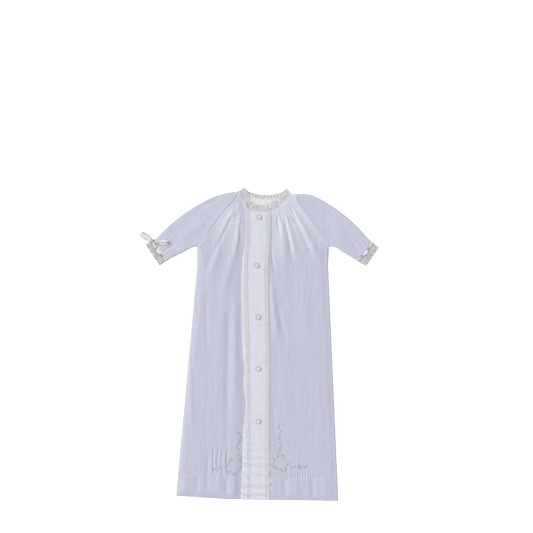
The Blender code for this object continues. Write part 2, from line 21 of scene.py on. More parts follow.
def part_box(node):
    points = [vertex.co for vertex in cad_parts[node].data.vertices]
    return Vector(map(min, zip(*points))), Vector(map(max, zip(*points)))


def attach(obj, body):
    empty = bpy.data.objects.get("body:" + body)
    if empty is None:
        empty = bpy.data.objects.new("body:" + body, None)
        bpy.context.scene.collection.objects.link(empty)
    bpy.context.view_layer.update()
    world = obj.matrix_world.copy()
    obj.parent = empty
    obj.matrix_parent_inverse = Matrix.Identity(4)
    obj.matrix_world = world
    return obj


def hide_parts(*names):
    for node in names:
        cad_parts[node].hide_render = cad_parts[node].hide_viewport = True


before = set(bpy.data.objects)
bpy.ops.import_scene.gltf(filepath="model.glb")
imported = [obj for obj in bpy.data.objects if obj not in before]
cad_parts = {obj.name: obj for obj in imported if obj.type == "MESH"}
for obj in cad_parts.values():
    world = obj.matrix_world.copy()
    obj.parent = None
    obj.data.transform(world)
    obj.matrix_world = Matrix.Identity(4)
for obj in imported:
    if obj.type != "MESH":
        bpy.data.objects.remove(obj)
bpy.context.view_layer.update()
LOG = logging.getLogger("daygown")

MM = 0.001
UV_UNIT = 100.0
OFF_TABLE = 0.02
NO_FACES = np.zeros((0, 4))
BODY = "root"
MIDDLE_BUTTON = "button_3"
MIDDLE_BUTTON_SPOT = (0.0, 338.5)

Array = np.ndarray
Point = tuple[float, float]
Triple = tuple[float, float, float]
Colour = tuple[float, float, float, float]
Output = bpy.types.NodeSocket
Socket = Union[Output, float, int, str, tuple]
Piece = bpy.types.Object
Material = bpy.types.Material
Tree = bpy.types.NodeTree


class Side(Enum):
    """A side of the gown, as its wearer has it."""

    RIGHT = "right"
    LEFT = "left"


class SideCut(NamedTuple):
    """Points down one side of the body and along its sleeve."""

    raglan: tuple[Point, ...]
    chest: Point
    corner: Point
    sleeve_top: tuple[Point, ...]
    sleeve_under: tuple[Point, ...]
    cuff_end: tuple[Point, Point]


class Strip(NamedTuple):
    """A section of the neck lace, from its sewn edge to its free edge."""

    seam: Point
    free: Point


class Band(NamedTuple):
    """A section of the placket, from its free edge to its sewn edge."""

    y: float
    free_edge: float
    lace_right_out: float
    lace_right_in: float
    lace_left_in: float
    lace_left_out: float


class Fold(NamedTuple):
    """A fold or, with a negative height, a trough, and its half width at each end."""

    head: Point
    bend: Point
    tail: Point
    height: float
    head_width: float
    tail_width: float


class Tucks(NamedTuple):
    """A block of released tucks above the hem."""

    x_from: float
    x_to: float
    y_from: float
    y_to: float
    height: float
    pitch: float


RIGHT_CUT = SideCut(
    raglan=((-33, 572.6), (-46, 551), (-62, 535), (-94, 492), (-113.5, 470)),
    chest=(-113, 436),
    corner=(-152.3, 8),
    sleeve_top=((-33, 572.6), (-75, 564), (-116, 544), (-156, 516), (-190.6, 483)),
    sleeve_under=((-113.5, 470), (-124, 467), (-137, 459.5), (-150, 453), (-162, 447.5)),
    cuff_end=((-209.1, 472.7), (-183.2, 433.8)),
)
LEFT_CUT = SideCut(
    raglan=((61, 567), (72, 549), (86, 530.5), (116, 487.5), (131.5, 470)),
    chest=(129.5, 436),
    corner=(148.4, -1.5),
    sleeve_top=((61, 567), (98, 564.5), (137, 543.5), (175, 514), (207.2, 480)),
    sleeve_under=((131.5, 470), (143.5, 467), (155, 459.5), (166, 453), (177, 446.5)),
    cuff_end=((223.9, 467.1), (199.8, 432.0)),
)
FRONT_NECK = (
    Strip((-33, 572.6), (-26.5, 579)),
    Strip((-28.1, 560.6), (-17.5, 566)),
    Strip((-19.8, 543.9), (-11.5, 550.5)),
    Strip((-5.6, 536.3), (-1, 546.2)),
    Strip((14.8, 535), (14, 545.6)),
    Strip((33.3, 542), (27, 551.5)),
    Strip((50, 553.5), (42.5, 563.5)),
    Strip((61, 567), (53.8, 577)),
)
BACK_NECK = (
    Strip((-33, 572.6), (-26.5, 579)),
    Strip((-15, 559.8), (-14.8, 569.8)),
    Strip((13, 555), (13, 564.3)),
    Strip((38, 557), (38.9, 568)),
    Strip((61, 567), (53.8, 577)),
)
PLACKET = (
    Band(534.4, -22.8, -22.0, -15.0, 14.5, 24.0),
    Band(481.0, -23.5, -22.5, -15.5, 14.0, 24.0),
    Band(440.0, -28.5, -26.3, -18.5, 11.5, 20.5),
    Band(370.0, -30.5, -26.0, -18.5, 12.0, 20.5),
    Band(287.0, -28.5, -23.5, -16.5, 13.8, 21.8),
    Band(241.0, -24.5, -22.5, -16.0, 14.0, 22.0),
    Band(214.0, -27.0, -21.5, -15.5, 14.0, 22.0),
    Band(178.0, -22.5, -21.2, -15.2, 13.5, 22.2),
    Band(130.0, -27.0, -21.0, -15.0, 12.0, 22.2),
    Band(60.0, -29.0, -21.0, -15.0, 13.0, 22.5),
    Band(1.3, -32.0, -21.0, -15.0, 13.5, 22.8),
)
FRONT_FOLDS = (
    # Right front
    Fold((-37, 568), (-81, 516), (-110, 466), 0.5, 4.5, 5),
    Fold((-41, 542), (-70, 481), (-94, 385), 1.6, 4.5, 10),
    Fold((-30, 535), (-41, 470), (-74, 348), 1.3, 3.5, 9),
    Fold((-45, 531), (-76, 468), (-104, 414), -1.5, 3, 6),
    Fold((-27, 531), (-33, 503), (-28, 459), -1.1, 2.5, 4),
    Fold((-54, 360), (-57, 185), (-58, 33), -0.95, 7, 5),
    Fold((-39, 388), (-43, 240), (-44, 92), 0.8, 8, 8),
    Fold((-67, 370), (-76, 222), (-81, 92), 0.6, 12, 10),
    Fold((-94, 392), (-96, 324), (-92, 255), -0.5, 4, 4),
    Fold((-126, 281), (-120, 240), (-113, 200), -0.5, 4, 3),
    Fold((-130, 300), (-126, 204), (-120, 102), 0.6, 5, 5),
    Fold((-107, 451), (-113, 398), (-120, 324), -0.7, 7, 6),
    Fold((-92, 83), (-94, 41), (-94, 2), -0.8, 3.5, 4),
    Fold((-72, 56), (-72, 28), (-72, 2), 0.8, 5, 6),
    Fold((-46, 44), (-44, 22), (-44, 2), 0.8, 6, 8),
    Fold((-112, 44), (-113, 22), (-114, 4), -0.8, 4, 5),
    Fold((-131, 48), (-133, 26), (-134, 5), 0.6, 6, 7),
    Fold((-58, 40), (-58, 22), (-57, 3), -0.8, 3.5, 4),
    # Left front
    Fold((63, 562), (98, 514), (130, 464), 0.9, 4.5, 3.5),
    Fold((65, 538), (89, 492), (118, 426), 1.6, 4.5, 10),
    Fold((50, 531), (59, 496), (76, 440), 1.2, 3.5, 7),
    Fold((43, 518), (48, 472), (50, 422), 1.0, 4, 8),
    Fold((24, 405), (31, 342), (39, 274), 1.2, 6, 5),
    Fold((37, 364), (46, 314), (56, 278), -0.7, 4, 4),
    Fold((78, 398), (89, 314), (100, 213), 0.5, 10, 12),
    Fold((63, 531), (85, 488), (111, 426), -1.5, 3, 6),
    Fold((48, 527), (57, 485), (67, 426), -1.3, 2.5, 4),
    Fold((35, 524), (37, 507), (41, 485), -1.0, 2.5, 2.5),
    Fold((22, 475), (26, 446), (35, 407), -1.0, 3, 3.5),
    Fold((85, 128), (105, 122), (128, 115), -0.5, 3, 3),
    Fold((26, 181), (35, 111), (48, 63), -0.6, 5, 6),
    Fold((70, 41), (72, 22), (74, 2), 0.6, 6, 7),
    Fold((48, 41), (50, 22), (51, 1), -0.9, 4, 5),
    Fold((99, 42), (101, 22), (102, 1), -0.9, 4, 5),
    Fold((122, 46), (124, 24), (126, 1), 0.6, 6, 7),
    # Sleeves
    Fold((-67, 562), (-98, 544), (-126, 525), -0.6, 4, 6),
    Fold((-98, 514), (-126, 496), (-152, 475), 0.7, 9, 9),
    Fold((-154, 474), (-166, 466), (-178, 458), -0.9, 4, 2.5),
    Fold((72, 562), (102, 549), (133, 533), -0.6, 4, 6),
    Fold((124, 514), (152, 496), (174, 475), 0.7, 9, 9),
    Fold((174, 475), (183, 466), (192, 457), -0.9, 4, 2.5),
)
# Creases that lift the hidden back off the table
BACK_FOLDS = (
    Fold((-100, 465), (-80, 400), (-70, 330), 0.7, 4, 8),
    Fold((112, 462), (92, 400), (84, 322), 0.7, 4, 8),
    Fold((-20, 540), (-24, 450), (-20, 350), 0.5, 4, 7),
    Fold((38, 540), (42, 440), (36, 330), 0.5, 4, 7),
    Fold((-60, 300), (-66, 180), (-70, 60), 0.6, 7, 6),
    Fold((60, 280), (66, 170), (72, 70), 0.6, 7, 6),
    Fold((0, 250), (6, 150), (4, 50), 0.45, 6, 6),
    Fold((-120, 210), (-60, 196), (-10, 204), 0.35, 3, 4),
    Fold((20, 120), (70, 112), (126, 124), 0.35, 4, 3),
)
SLEEVE_BACK_FOLDS = (
    Fold((-90, 540), (-120, 512), (-150, 480), 0.6, 5, 6),
    Fold((-118, 480), (-136, 470), (-156, 458), 0.5, 4, 3),
    Fold((108, 536), (140, 508), (168, 478), 0.6, 5, 6),
    Fold((136, 480), (152, 470), (172, 458), 0.5, 4, 3),
)
TUCK_BLOCKS = (
    Tucks(-86.5, -53.3, 50, 100, 1.35, 8.3),
    Tucks(-93, -54.3, 36, 58, 0.7, 4.3),
    Tucks(43, 99.4, 37, 62, 0.75, 4.7),
)


def blend(value: Union[Array, float], low: float, high: float) -> Array:
    """Smooth step from 0 at low to 1 at high."""
    t = np.clip((np.asarray(value, float) - low) / (high - low), 0, 1)
    return t * t * (3 - 2 * t)


def bell(value: Array, width: Union[Array, float]) -> Array:
    """A soft hump, 1 at 0 and close to nothing at twice the width."""
    return np.exp(-((value / width) ** 2))


def even(count: int) -> Array:
    """Even shares from 0 to 1."""
    return np.linspace(0, 1, count)


def unit(rows: Array) -> Array:
    """Vectors scaled to a length of 1."""
    return rows / np.linalg.norm(rows, axis=-1)[..., None]


def angles(count: int) -> Array:
    """Angles at even steps all round."""
    return np.linspace(0, 2 * np.pi, count, endpoint=False)


def rotated(x: Array, y: Array, angle: float) -> tuple[Array, Array]:
    """Places turned about zero."""
    c, s = np.cos(angle), np.sin(angle)
    return x * c - y * s, x * s + y * c


def smooth(rows: Sequence[Sequence[float]], per_span: int = 24) -> Array:
    """A smooth curve through the rows of a table.

    Args:
        rows: The points that the curve passes.
        per_span: How many points stand for each span.

    Returns:
        The curve's points.
    """
    table = np.array(rows, float)
    ends = np.vstack([2 * table[0] - table[1], table, 2 * table[-1] - table[-2]])
    t = np.linspace(0, 1, per_span, endpoint=False)[:, None]
    spans = []
    for a, b, c, d in zip(ends, ends[1:], ends[2:], ends[3:]):
        spans.append(b + t * ((c - a) + t * ((2 * a - 5 * b + 4 * c - d) + t * (3 * b - a - 3 * c + d))) / 2)
    return np.vstack(spans + [table[-1:]])


def lengths(line: Array) -> Array:
    """The distance along a line to each of its points."""
    return np.concatenate([[0], np.cumsum(np.linalg.norm(np.diff(line, axis=0), axis=1))])


def along(line: Array, shares: Array) -> Array:
    """Points at the given shares of a line's length."""
    length = lengths(line)
    return np.stack([np.interp(np.asarray(shares) * length[-1], length, axis) for axis in line.T], axis=1)


def shifted(line: Array, distance: float) -> Array:
    """The line moved sideways, to its left for a positive distance."""
    way = unit(np.gradient(line, axis=0))
    return line + distance * np.stack([-way[:, 1], way[:, 0]], axis=1)


def patch(top: Array, bottom: Array, first: Array, last: Array, u: Array, v: Array) -> Array:
    """A grid between four edges.

    Args:
        top, bottom: The upper and the lower edge, along u.
        first, last: The edges at u = 0 and at u = 1, down along v.
        u, v: Shares of the columns and of the rows.

    Returns:
        Rows and columns of points.
    """
    u, v = u[None, :, None], v[:, None, None]
    across = (1 - v) * top[None] + v * bottom[None]
    down = (1 - u) * first[:, None] + u * last[:, None]
    corners = (1 - v) * ((1 - u) * top[0] + u * top[-1]) + v * ((1 - u) * bottom[0] + u * bottom[-1])
    return across + down - corners


def beside(points: Array, line: Array) -> tuple[Array, Array]:
    """How far points lie from a line.

    Args:
        points: Points on the table, in any grid.
        line: The line's points.

    Returns:
        Each point's distance, and the share of the line where it is nearest.
    """
    flat = points.reshape(-1, 2)
    step = np.diff(line, axis=0)
    t = np.clip(((flat[:, None] - line[:-1]) * step).sum(2) / (step**2).sum(1), 0, 1)
    away = np.linalg.norm(flat[:, None] - line[:-1] - t[..., None] * step, axis=2)
    best, row = away.argmin(axis=1), np.arange(len(flat))
    shape = points.shape[:-1]
    return away[row, best].reshape(shape), ((best + t[row, best]) / len(step)).reshape(shape)


def fold_relief(points: Array, folds: Sequence[Fold]) -> Array:
    """How far folds lift the cloth at each point.

    Args:
        points: Places on the table.
        folds: The folds and troughs.

    Returns:
        The lift at each place, negative in a trough.
    """
    total = np.zeros(points.shape[:-1])
    for fold in folds:
        line = along(smooth((fold.head, fold.bend, fold.tail)), even(17))
        reach = 3 * max(fold.head_width, fold.tail_width)
        low, high = line.min(axis=0) - reach, line.max(axis=0) + reach
        near = ((points > low) & (points < high)).all(axis=-1)
        if not near.any():
            continue
        away, t = beside(points[near], line)
        width = fold.head_width + (fold.tail_width - fold.head_width) * t
        fade = blend(t, 0, 0.12) * blend(1 - t, 0, 0.4)
        total[near] += fold.height * fade * bell(away, width)
    return total


def soft_waves(x: Array, y: Array) -> Array:
    """Small soft wrinkles, mostly down the cloth, between -1 and 1.

    Args:
        x, y: Places on the table.

    Returns:
        The wrinkles' height at each place.
    """
    drift = 9 * np.sin(y / 83) + 6 * np.sin(y / 37 + 1.1)
    down = np.sin((x + drift) / 5.1) * np.sin(y / 61 + x / 47) + 0.7 * np.sin((x - drift) / 8.7 + 2.0)
    level = np.sin(y / 9.3 + 2.2 * np.sin(x / 41)) * np.sin(x / 29 + y / 71)
    streaks = np.sin((x + 0.15 * drift) / 1.55 + 0.5 * np.sin(y / 23))
    streaks = streaks * np.sin(y / 47 + x / 13) * np.sin(y / 90 - x / 31)
    return (down + 0.5 * level + 0.5 * streaks) / 2.2


class Graph:
    """A node tree that is being written."""

    def __init__(self, tree: Tree) -> None:
        """Keeps the tree."""
        self.tree = tree

    def fill(self, node: bpy.types.Node, inputs: dict[Union[str, int], Socket]) -> None:
        """Links or sets a node's inputs.

        Args:
            node: The node.
            inputs: A value or a socket to link, by the input's name or number.
        """
        for key, value in inputs.items():
            if isinstance(value, Output):
                self.tree.links.new(value, node.inputs[key])
            else:
                node.inputs[key].default_value = value

    def add(
        self, kind: str, inputs: Optional[dict[Union[str, int], Socket]] = None, **settings: object
    ) -> bpy.types.Node:
        """Adds a node.

        Args:
            kind: Blender's name for the node.
            inputs: A value or a socket to link, by the input's name or number.
            settings: The node's own settings.

        Returns:
            The node.
        """
        node = self.tree.nodes.new(kind)
        for key, value in settings.items():
            setattr(node, key, value)
        self.fill(node, inputs or {})
        return node

    def maths(self, operation: str, *values: Socket) -> Output:
        """One step of arithmetic on numbers."""
        return self.add("ShaderNodeMath", dict(enumerate(values)), operation=operation).outputs[0]

    def vector(self, operation: str, *values: Socket) -> Output:
        """One step of arithmetic on two vectors, or on a vector and its scale."""
        keys = (0, "Scale") if operation == "SCALE" else (0, 1)
        return self.add("ShaderNodeVectorMath", dict(zip(keys, values)), operation=operation).outputs[0]

    def combined(self, x: Socket = 0.0, y: Socket = 0.0, z: Socket = 0.0) -> Output:
        """A vector from its parts."""
        return self.add("ShaderNodeCombineXYZ", {0: x, 1: y, 2: z}).outputs[0]

    def ranged(
        self, value: Socket, low: float, high: float, to_low: float = 0.0, to_high: float = 1.0
    ) -> Output:
        """A number carried smoothly from one range to another."""
        inputs = {"Value": value, "From Min": low, "From Max": high, "To Min": to_low, "To Max": to_high}
        return self.add("ShaderNodeMapRange", inputs, interpolation_type="SMOOTHSTEP").outputs["Result"]

    def mixed(self, share: Socket, first: Socket, second: Socket) -> Output:
        """Two colours mixed."""
        return self.add("ShaderNodeMix", {0: share, 6: first, 7: second}, data_type="RGBA").outputs[2]

    def attribute(self, name: str) -> Output:
        """A mesh attribute, in a material."""
        return self.add("ShaderNodeAttribute", attribute_name=name, attribute_type="GEOMETRY").outputs["Fac"]

    def named(self, name: str, kind: str = "FLOAT") -> Output:
        """A mesh attribute, in a geometry tree."""
        return self.add("GeometryNodeInputNamedAttribute", {"Name": name}, data_type=kind).outputs[0]

    def noise(self, place: Socket, detail: float, **more: float) -> Output:
        """Noise over places, which are scaled already unless Scale is given."""
        inputs = {"Vector": place, "Scale": 1.0, "Detail": detail, **more}
        return self.add("ShaderNodeTexNoise", inputs).outputs["Fac"]

    def effect(self, tree: Tree, **numbers: float) -> bpy.types.Node:
        """A shared shader group, with its numbers."""
        return self.add("ShaderNodeGroup", numbers, node_tree=tree)

    def bump(self, height: Output, strength: float, depth: float, **under: Output) -> Output:
        """Fine relief, as a normal."""
        inputs = {"Strength": strength, "Distance": depth, "Height": height, **under}
        return self.add("ShaderNodeBump", inputs).outputs[0]


def new_tree(
    name: str, kind: str, inputs: dict[str, str], outputs: dict[str, str]
) -> tuple[Graph, dict[str, Output]]:
    """A node tree with named inputs and outputs.

    Args:
        name: The tree's name.
        kind: GeometryNodeTree or ShaderNodeTree.
        inputs: Socket types by input name, such as Float.
        outputs: Socket types by output name.

    Returns:
        The tree to write in, and its input sockets by name.
    """
    tree = bpy.data.node_groups.new(name, kind)
    for way, sockets in (("INPUT", inputs), ("OUTPUT", outputs)):
        for word, socket in sockets.items():
            tree.interface.new_socket(name=word, in_out=way, socket_type=f"NodeSocket{socket}")
    graph = Graph(tree)
    given = graph.add("NodeGroupInput")
    return graph, {word: given.outputs[word] for word in inputs}


@cache
def weave_group() -> Tree:
    """Plain weave with slubs, shared by cloths: its height, and a mask of the gaps between threads.

    Returns:
        The group.
    """
    sockets = {"Threads": "Float", "Slubs": "Float"}
    graph, given = new_tree("weave", "ShaderNodeTree", sockets, {"Height": "Float", "Gaps": "Float"})
    laid = graph.add("ShaderNodeUVMap", uv_map="UVMap").outputs["UV"]
    scaled = graph.vector("SCALE", laid, given["Threads"])
    parts = graph.add("ShaderNodeSeparateXYZ", {0: scaled}).outputs
    waves = [graph.maths("SINE", graph.maths("MULTIPLY", parts[i], np.pi)) for i in (0, 1)]
    turn = [graph.maths("ABSOLUTE", wave) for wave in waves]
    over = graph.add("ShaderNodeTexChecker", {"Vector": scaled, "Scale": 1.0}).outputs["Fac"]
    warp = graph.maths("MULTIPLY", turn[0], graph.maths("MULTIPLY_ADD", over, 0.6, 0.4))
    weft = graph.maths("MULTIPLY", turn[1], graph.maths("MULTIPLY_ADD", over, -0.6, 1.0))
    stretches = ((1.6, 90.0, 1.0), (90.0, 1.6, 1.0))
    slub = graph.maths("ADD", *(graph.noise(graph.vector("MULTIPLY", laid, way), 2.0) for way in stretches))
    height = graph.maths("MULTIPLY_ADD", slub, given["Slubs"], graph.maths("MAXIMUM", warp, weft))
    gaps = graph.maths("MULTIPLY", *(graph.maths("SUBTRACT", 1.0, value) for value in turn))
    graph.add("NodeGroupOutput", {"Height": height, "Gaps": gaps})
    return graph.tree


@cache
def mottle_group() -> Tree:
    """Soft uneven tone over a piece, from 0 to 1, shared by cloth, thread and table.

    Returns:
        The group.
    """
    graph, given = new_tree("mottle", "ShaderNodeTree", {"Size": "Float"}, {"Mask": "Float"})
    place = graph.add("ShaderNodeTexCoord").outputs["Object"]
    scaled = graph.vector("SCALE", place, graph.maths("DIVIDE", 1.0, given["Size"]))
    tone = graph.noise(scaled, 3.0, Roughness=0.6)
    graph.add("NodeGroupOutput", {"Mask": graph.ranged(tone, 0.3, 0.7)})
    return graph.tree


def new_material(
    name: str, roughness: float, **plain: Union[float, Colour]
) -> tuple[Material, Graph, bpy.types.Node]:
    """A material with a Principled shader.

    Args:
        name: The material's name.
        roughness: The surface's roughness.
        plain: Other values that are the same all over, with _ for each space.

    Returns:
        The material, its tree and its shader.
    """
    material = bpy.data.materials.new(name)
    material.use_nodes = True
    graph = Graph(material.node_tree)
    shader = material.node_tree.nodes["Principled BSDF"]
    graph.fill(shader, {"Roughness": roughness})
    graph.fill(shader, {key.replace("_", " "): value for key, value in plain.items()})
    return material, graph, shader


@dataclass(frozen=True)
class Batiste:
    """Thin plain-woven cotton, lighter where it lies double."""

    name: str = "batiste"
    single: Colour = (0.545, 0.555, 0.680, 1)
    double: Colour = (0.690, 0.705, 0.790, 1)
    cooler: Colour = (0.40, 0.42, 0.60, 1)
    # painted shade in the gaps of the weave
    between: Colour = (0.42, 0.43, 0.56, 1)
    threads: float = 300.0
    mottled: float = 0.055
    gap_shade: float = 0.30
    crumple: float = 0.5
    creases: Triple = (10.0, 3.0, 1.0)

    def material(self) -> Material:
        """The cloth's material, lighter where its layers attribute says the cloth lies double and where it
        holds painted light.

        Returns:
            The material.
        """
        sheen = {"Sheen_Weight": 0.18, "Sheen_Roughness": 0.45}
        material, graph, shader = new_material(self.name, 0.9, Specular_IOR_Level=0.25, **sheen)
        weave = graph.effect(weave_group(), Threads=self.threads, Slubs=0.9).outputs
        mottle = graph.effect(mottle_group(), Size=0.045).outputs["Mask"]
        # lighter where the cloth lies double, and near the back neck where light is painted
        cloth = graph.mixed(graph.attribute("layers"), self.single, self.double)
        toned = graph.mixed(graph.maths("MULTIPLY", mottle, self.mottled), cloth, self.cooler)
        # painted shade: the weave's gaps are darkened
        shaded = graph.mixed(graph.maths("MULTIPLY", weave["Gaps"], self.gap_shade), toned, self.between)
        laid = graph.add("ShaderNodeUVMap", uv_map="UVMap").outputs["UV"]
        crumple = graph.noise(graph.vector("MULTIPLY", laid, self.creases), 4.0, Roughness=0.55)
        soft = graph.bump(crumple, self.crumple, depth=0.0016)
        relief = graph.bump(weave["Height"], strength=0.35, depth=0.0002, Normal=soft)
        graph.fill(shader, {"Base Color": shaded, "Normal": relief})
        return material


@dataclass(frozen=True)
class Thread:
    """Spun thread: lace, sewing cotton or embroidery floss."""

    name: str
    light: Colour
    deep: Colour
    roughness: float = 0.75
    sheen: float = 0.3
    twist: float = 0.0006
    uneven: float = 0.0
    mottled: float = 0.35
    # painted shade: how dark the thickest lace threads are painted, as a share of the deep tone
    painted_shade_factor: float = 0.62

    def material(self) -> Material:
        """The thread's material, whose deep attribute picks the darker tone: the floss's own darker colour on
        embroidery, and painted shade on the thicker lace threads.

        Returns:
            The material.
        """
        material, graph, shader = new_material(
            self.name, self.roughness, Sheen_Weight=self.sheen, Specular_IOR_Level=0.3
        )
        deep = graph.attribute("deep")
        mottle = graph.effect(mottle_group(), Size=0.004).outputs["Mask"]
        own = graph.maths("MULTIPLY", deep, 1 - self.uneven)
        share = graph.maths("MULTIPLY_ADD", mottle, self.mottled + self.uneven, own)
        pair = graph.mixed(graph.maths("MINIMUM", share, 1.0), self.light, self.deep)
        # painted shade: a darker copy of the deep tone for the thickest lace threads
        thickest_painted_shade = (*(self.painted_shade_factor * value for value in self.deep[:3]), 1.0)
        place = graph.add("ShaderNodeTexCoord").outputs["Object"]
        ply = graph.noise(place, 2.0, Scale=1 / self.twist)
        colour = graph.mixed(graph.ranged(deep, 1.0, 2.0), pair, thickest_painted_shade)
        graph.fill(shader, {"Base Color": colour, "Normal": graph.bump(ply, strength=0.5, depth=0.00015)})
        return material


@dataclass(frozen=True)
class Satin:
    """Narrow double-faced satin ribbon."""

    name: str = "satin"
    face: Colour = (0.92, 0.92, 0.93, 1)
    shade: Colour = (0.70, 0.71, 0.73, 1)
    # painted shade: the darker colour taken where the ribbon leans from level and where shade is painted on
    # it
    leaning_painted_shade: Colour = (0.54, 0.545, 0.55, 1)

    def material(self) -> Material:
        """The ribbon's material, with fine ribs along it, and painted shade where the ribbon leans from level
        and where shade is painted on its vertices.

        Returns:
            The material.
        """
        plain = {"Sheen_Weight": 0.15, "Anisotropic": 0.5, "Specular_IOR_Level": 0.6}
        material, graph, shader = new_material(self.name, 0.32, **plain)
        laid = graph.add("ShaderNodeUVMap", uv_map="UVMap").outputs["UV"]
        ribs = graph.noise(graph.vector("MULTIPLY", laid, (30.0, 900.0, 1.0)), 1.0)
        colour = graph.mixed(graph.ranged(ribs, 0.3, 0.7, 0.0, 0.5), self.face, self.shade)
        # painted shade from how far the surface leans from level, mixed with the painted shade and highlights
        # kept on the vertices
        lean, edge = graph.ranged(graph.attribute("lean"), 0.1, 0.7), graph.attribute("layers")
        with_painted_shade = graph.mixed(graph.maths("MAXIMUM", lean, edge), colour, self.leaning_painted_shade)
        relief = graph.bump(ribs, strength=0.3, depth=0.0001)
        graph.fill(shader, {"Base Color": with_painted_shade, "Normal": relief})
        return material


@dataclass(frozen=True)
class Pearl:
    """Polished pearly button."""

    name: str = "pearl"
    light: Colour = (0.85, 0.85, 0.88, 1)
    blush: Colour = (0.74, 0.72, 0.78, 1)
    # painted shade on the outer wall of the button's rim
    rim: Colour = (0.36, 0.37, 0.45, 1)

    def material(self) -> Material:
        """The button's material, clouded as mother-of-pearl is, with painted shade on the outer wall of its
        rim.

        Returns:
            The material.
        """
        plain = {"Coat_Weight": 0.7, "Coat_Roughness": 0.08, "Specular_IOR_Level": 0.6}
        film = {"Thin_Film_Thickness": 330.0, "Thin_Film_IOR": 1.45}
        material, graph, shader = new_material(self.name, 0.22, **plain, **film)
        place = graph.add("ShaderNodeTexCoord").outputs["Object"]
        cloud = graph.noise(graph.vector("MULTIPLY", place, (260.0, 520.0, 520.0)), 3.0, Distortion=1.5)
        shell = graph.mixed(graph.ranged(cloud, 0.35, 0.65), self.light, self.blush)
        # painted shade: the rim band is painted darker
        colour = graph.mixed(graph.attribute("rim"), shell, self.rim)
        graph.fill(shader, {"Base Color": colour, "Roughness": graph.ranged(cloud, 0.3, 0.7, 0.16, 0.32)})
        return material


@dataclass(frozen=True)
class Tabletop:
    """A plain pale table."""

    name: str = "tabletop"
    colour: Colour = (0.97, 0.97, 0.97, 1)
    cooler: Colour = (0.95, 0.95, 0.96, 1)

    def material(self) -> Material:
        """The table's matt material.

        Returns:
            The material.
        """
        glow = {"Emission_Color": self.colour, "Emission_Strength": 0.5}
        material, graph, shader = new_material(self.name, 0.95, Specular_IOR_Level=0.0, **glow)
        mottle = graph.effect(mottle_group(), Size=0.4).outputs["Mask"]
        colour = graph.mixed(graph.maths("MULTIPLY", mottle, 0.01), self.colour, self.cooler)
        graph.fill(shader, {"Base Color": colour})
        return material


def made(look: Union[Batiste, Thread, Satin, Pearl]) -> Material:
    """A field that holds a look's material, made with its owner."""
    return field(default_factory=look.material)


@dataclass
class Finishes:
    """The materials of the gown, each made once."""

    batiste: Material = made(Batiste())
    lace: Material = made(Thread("lace_thread", (0.845, 0.85, 0.875, 1), (0.71, 0.705, 0.71, 1)))
    # painted light: the one neck lace has a lighter copy of its thread at the front and a darker, shaded copy
    # at the back
    neck_lace: Material = made(
        Thread("neck_lace_thread", (0.90, 0.90, 0.91, 1), (0.66, 0.655, 0.665, 1), uneven=0.5)
    )
    shaded_back_lace: Material = made(
        Thread("back_neck_lace_thread", (0.78, 0.78, 0.79, 1), (0.55, 0.545, 0.56, 1), uneven=0.4)
    )
    cuff_lace: Material = made(
        Thread("cuff_lace_thread", (0.82, 0.815, 0.84, 1), (0.50, 0.495, 0.52, 1), uneven=0.4)
    )
    binding: Material = made(Batiste("bias_binding", (0.75, 0.76, 0.80, 1), (0.765, 0.775, 0.81, 1)))
    cotton_thread: Material = made(Thread("sewing_cotton", (0.80, 0.81, 0.88, 1), (0.62, 0.63, 0.72, 1)))
    rose_floss: Material = made(
        Thread("rose_floss", (0.76, 0.66, 0.72, 1), (0.66, 0.48, 0.57, 1), roughness=0.5)
    )
    leaf_floss: Material = made(
        Thread("leaf_floss", (0.50, 0.67, 0.63, 1), (0.36, 0.54, 0.51, 1), roughness=0.5)
    )
    satin: Material = made(Satin())
    pearl: Material = made(Pearl())


def garment_origin() -> Array:
    """Where the garment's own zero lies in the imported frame, in metres."""
    middle = np.mean(np.array([tuple(corner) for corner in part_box(MIDDLE_BUTTON)], float), axis=0)
    return np.array([*(middle[:2] - np.array(MIDDLE_BUTTON_SPOT) * MM), 0.0])


ORIGIN = garment_origin()


def in_metres(points: Array) -> Array:
    """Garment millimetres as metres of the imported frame."""
    return points * MM + ORIGIN


def linked(name: str, data: bpy.types.ID) -> Piece:
    """An object in the scene.

    Args:
        name: Its name.
        data: Its mesh, light or camera.

    Returns:
        The object.
    """
    made = bpy.data.objects.new(name, data)
    bpy.context.scene.collection.objects.link(made)
    return made


def mark(mesh: bpy.types.Mesh, word: str, numbers: Array) -> None:
    """Keeps a number at each vertex of a mesh, as an attribute."""
    data = mesh.attributes.new(word, "FLOAT", "POINT").data
    data.foreach_set("value", np.ravel(numbers).astype(np.float32))


def plain_mesh(piece: Piece) -> bpy.types.Mesh:
    """The mesh that an object's modifiers make."""
    depsgraph = bpy.context.evaluated_depsgraph_get()
    return bpy.data.meshes.new_from_object(piece.evaluated_get(depsgraph), depsgraph=depsgraph)


def add_piece(
    name: str,
    points: Array,
    faces: Array,
    finish: Material,
    corner_uv: Optional[Array] = None,
    edges: Optional[Array] = None,
    values: Optional[dict[str, Array]] = None,
) -> Piece:
    """An object whose place is in its mesh.

    Args:
        name: The piece's name.
        points: Its vertices, in garment millimetres.
        faces: Vertex numbers of each face.
        finish: Its material.
        corner_uv: A UV place for each face corner, in face order.
        edges: Vertex numbers of each loose edge.
        values: Numbers for each vertex, by attribute name.

    Returns:
        The object.
    """
    mesh = bpy.data.meshes.new(name)
    loose = [] if edges is None else edges.tolist()
    mesh.from_pydata(in_metres(points).tolist(), loose, np.asarray(faces, int).tolist())
    if corner_uv is not None:
        mesh.uv_layers.new(name="UVMap").data.foreach_set("uv", corner_uv.astype(np.float32).ravel())
    for word, numbers in (values or {}).items():
        mark(mesh, word, numbers)
    mesh.shade_smooth()
    mesh.materials.append(finish)
    mesh.update()
    return linked(name, mesh)


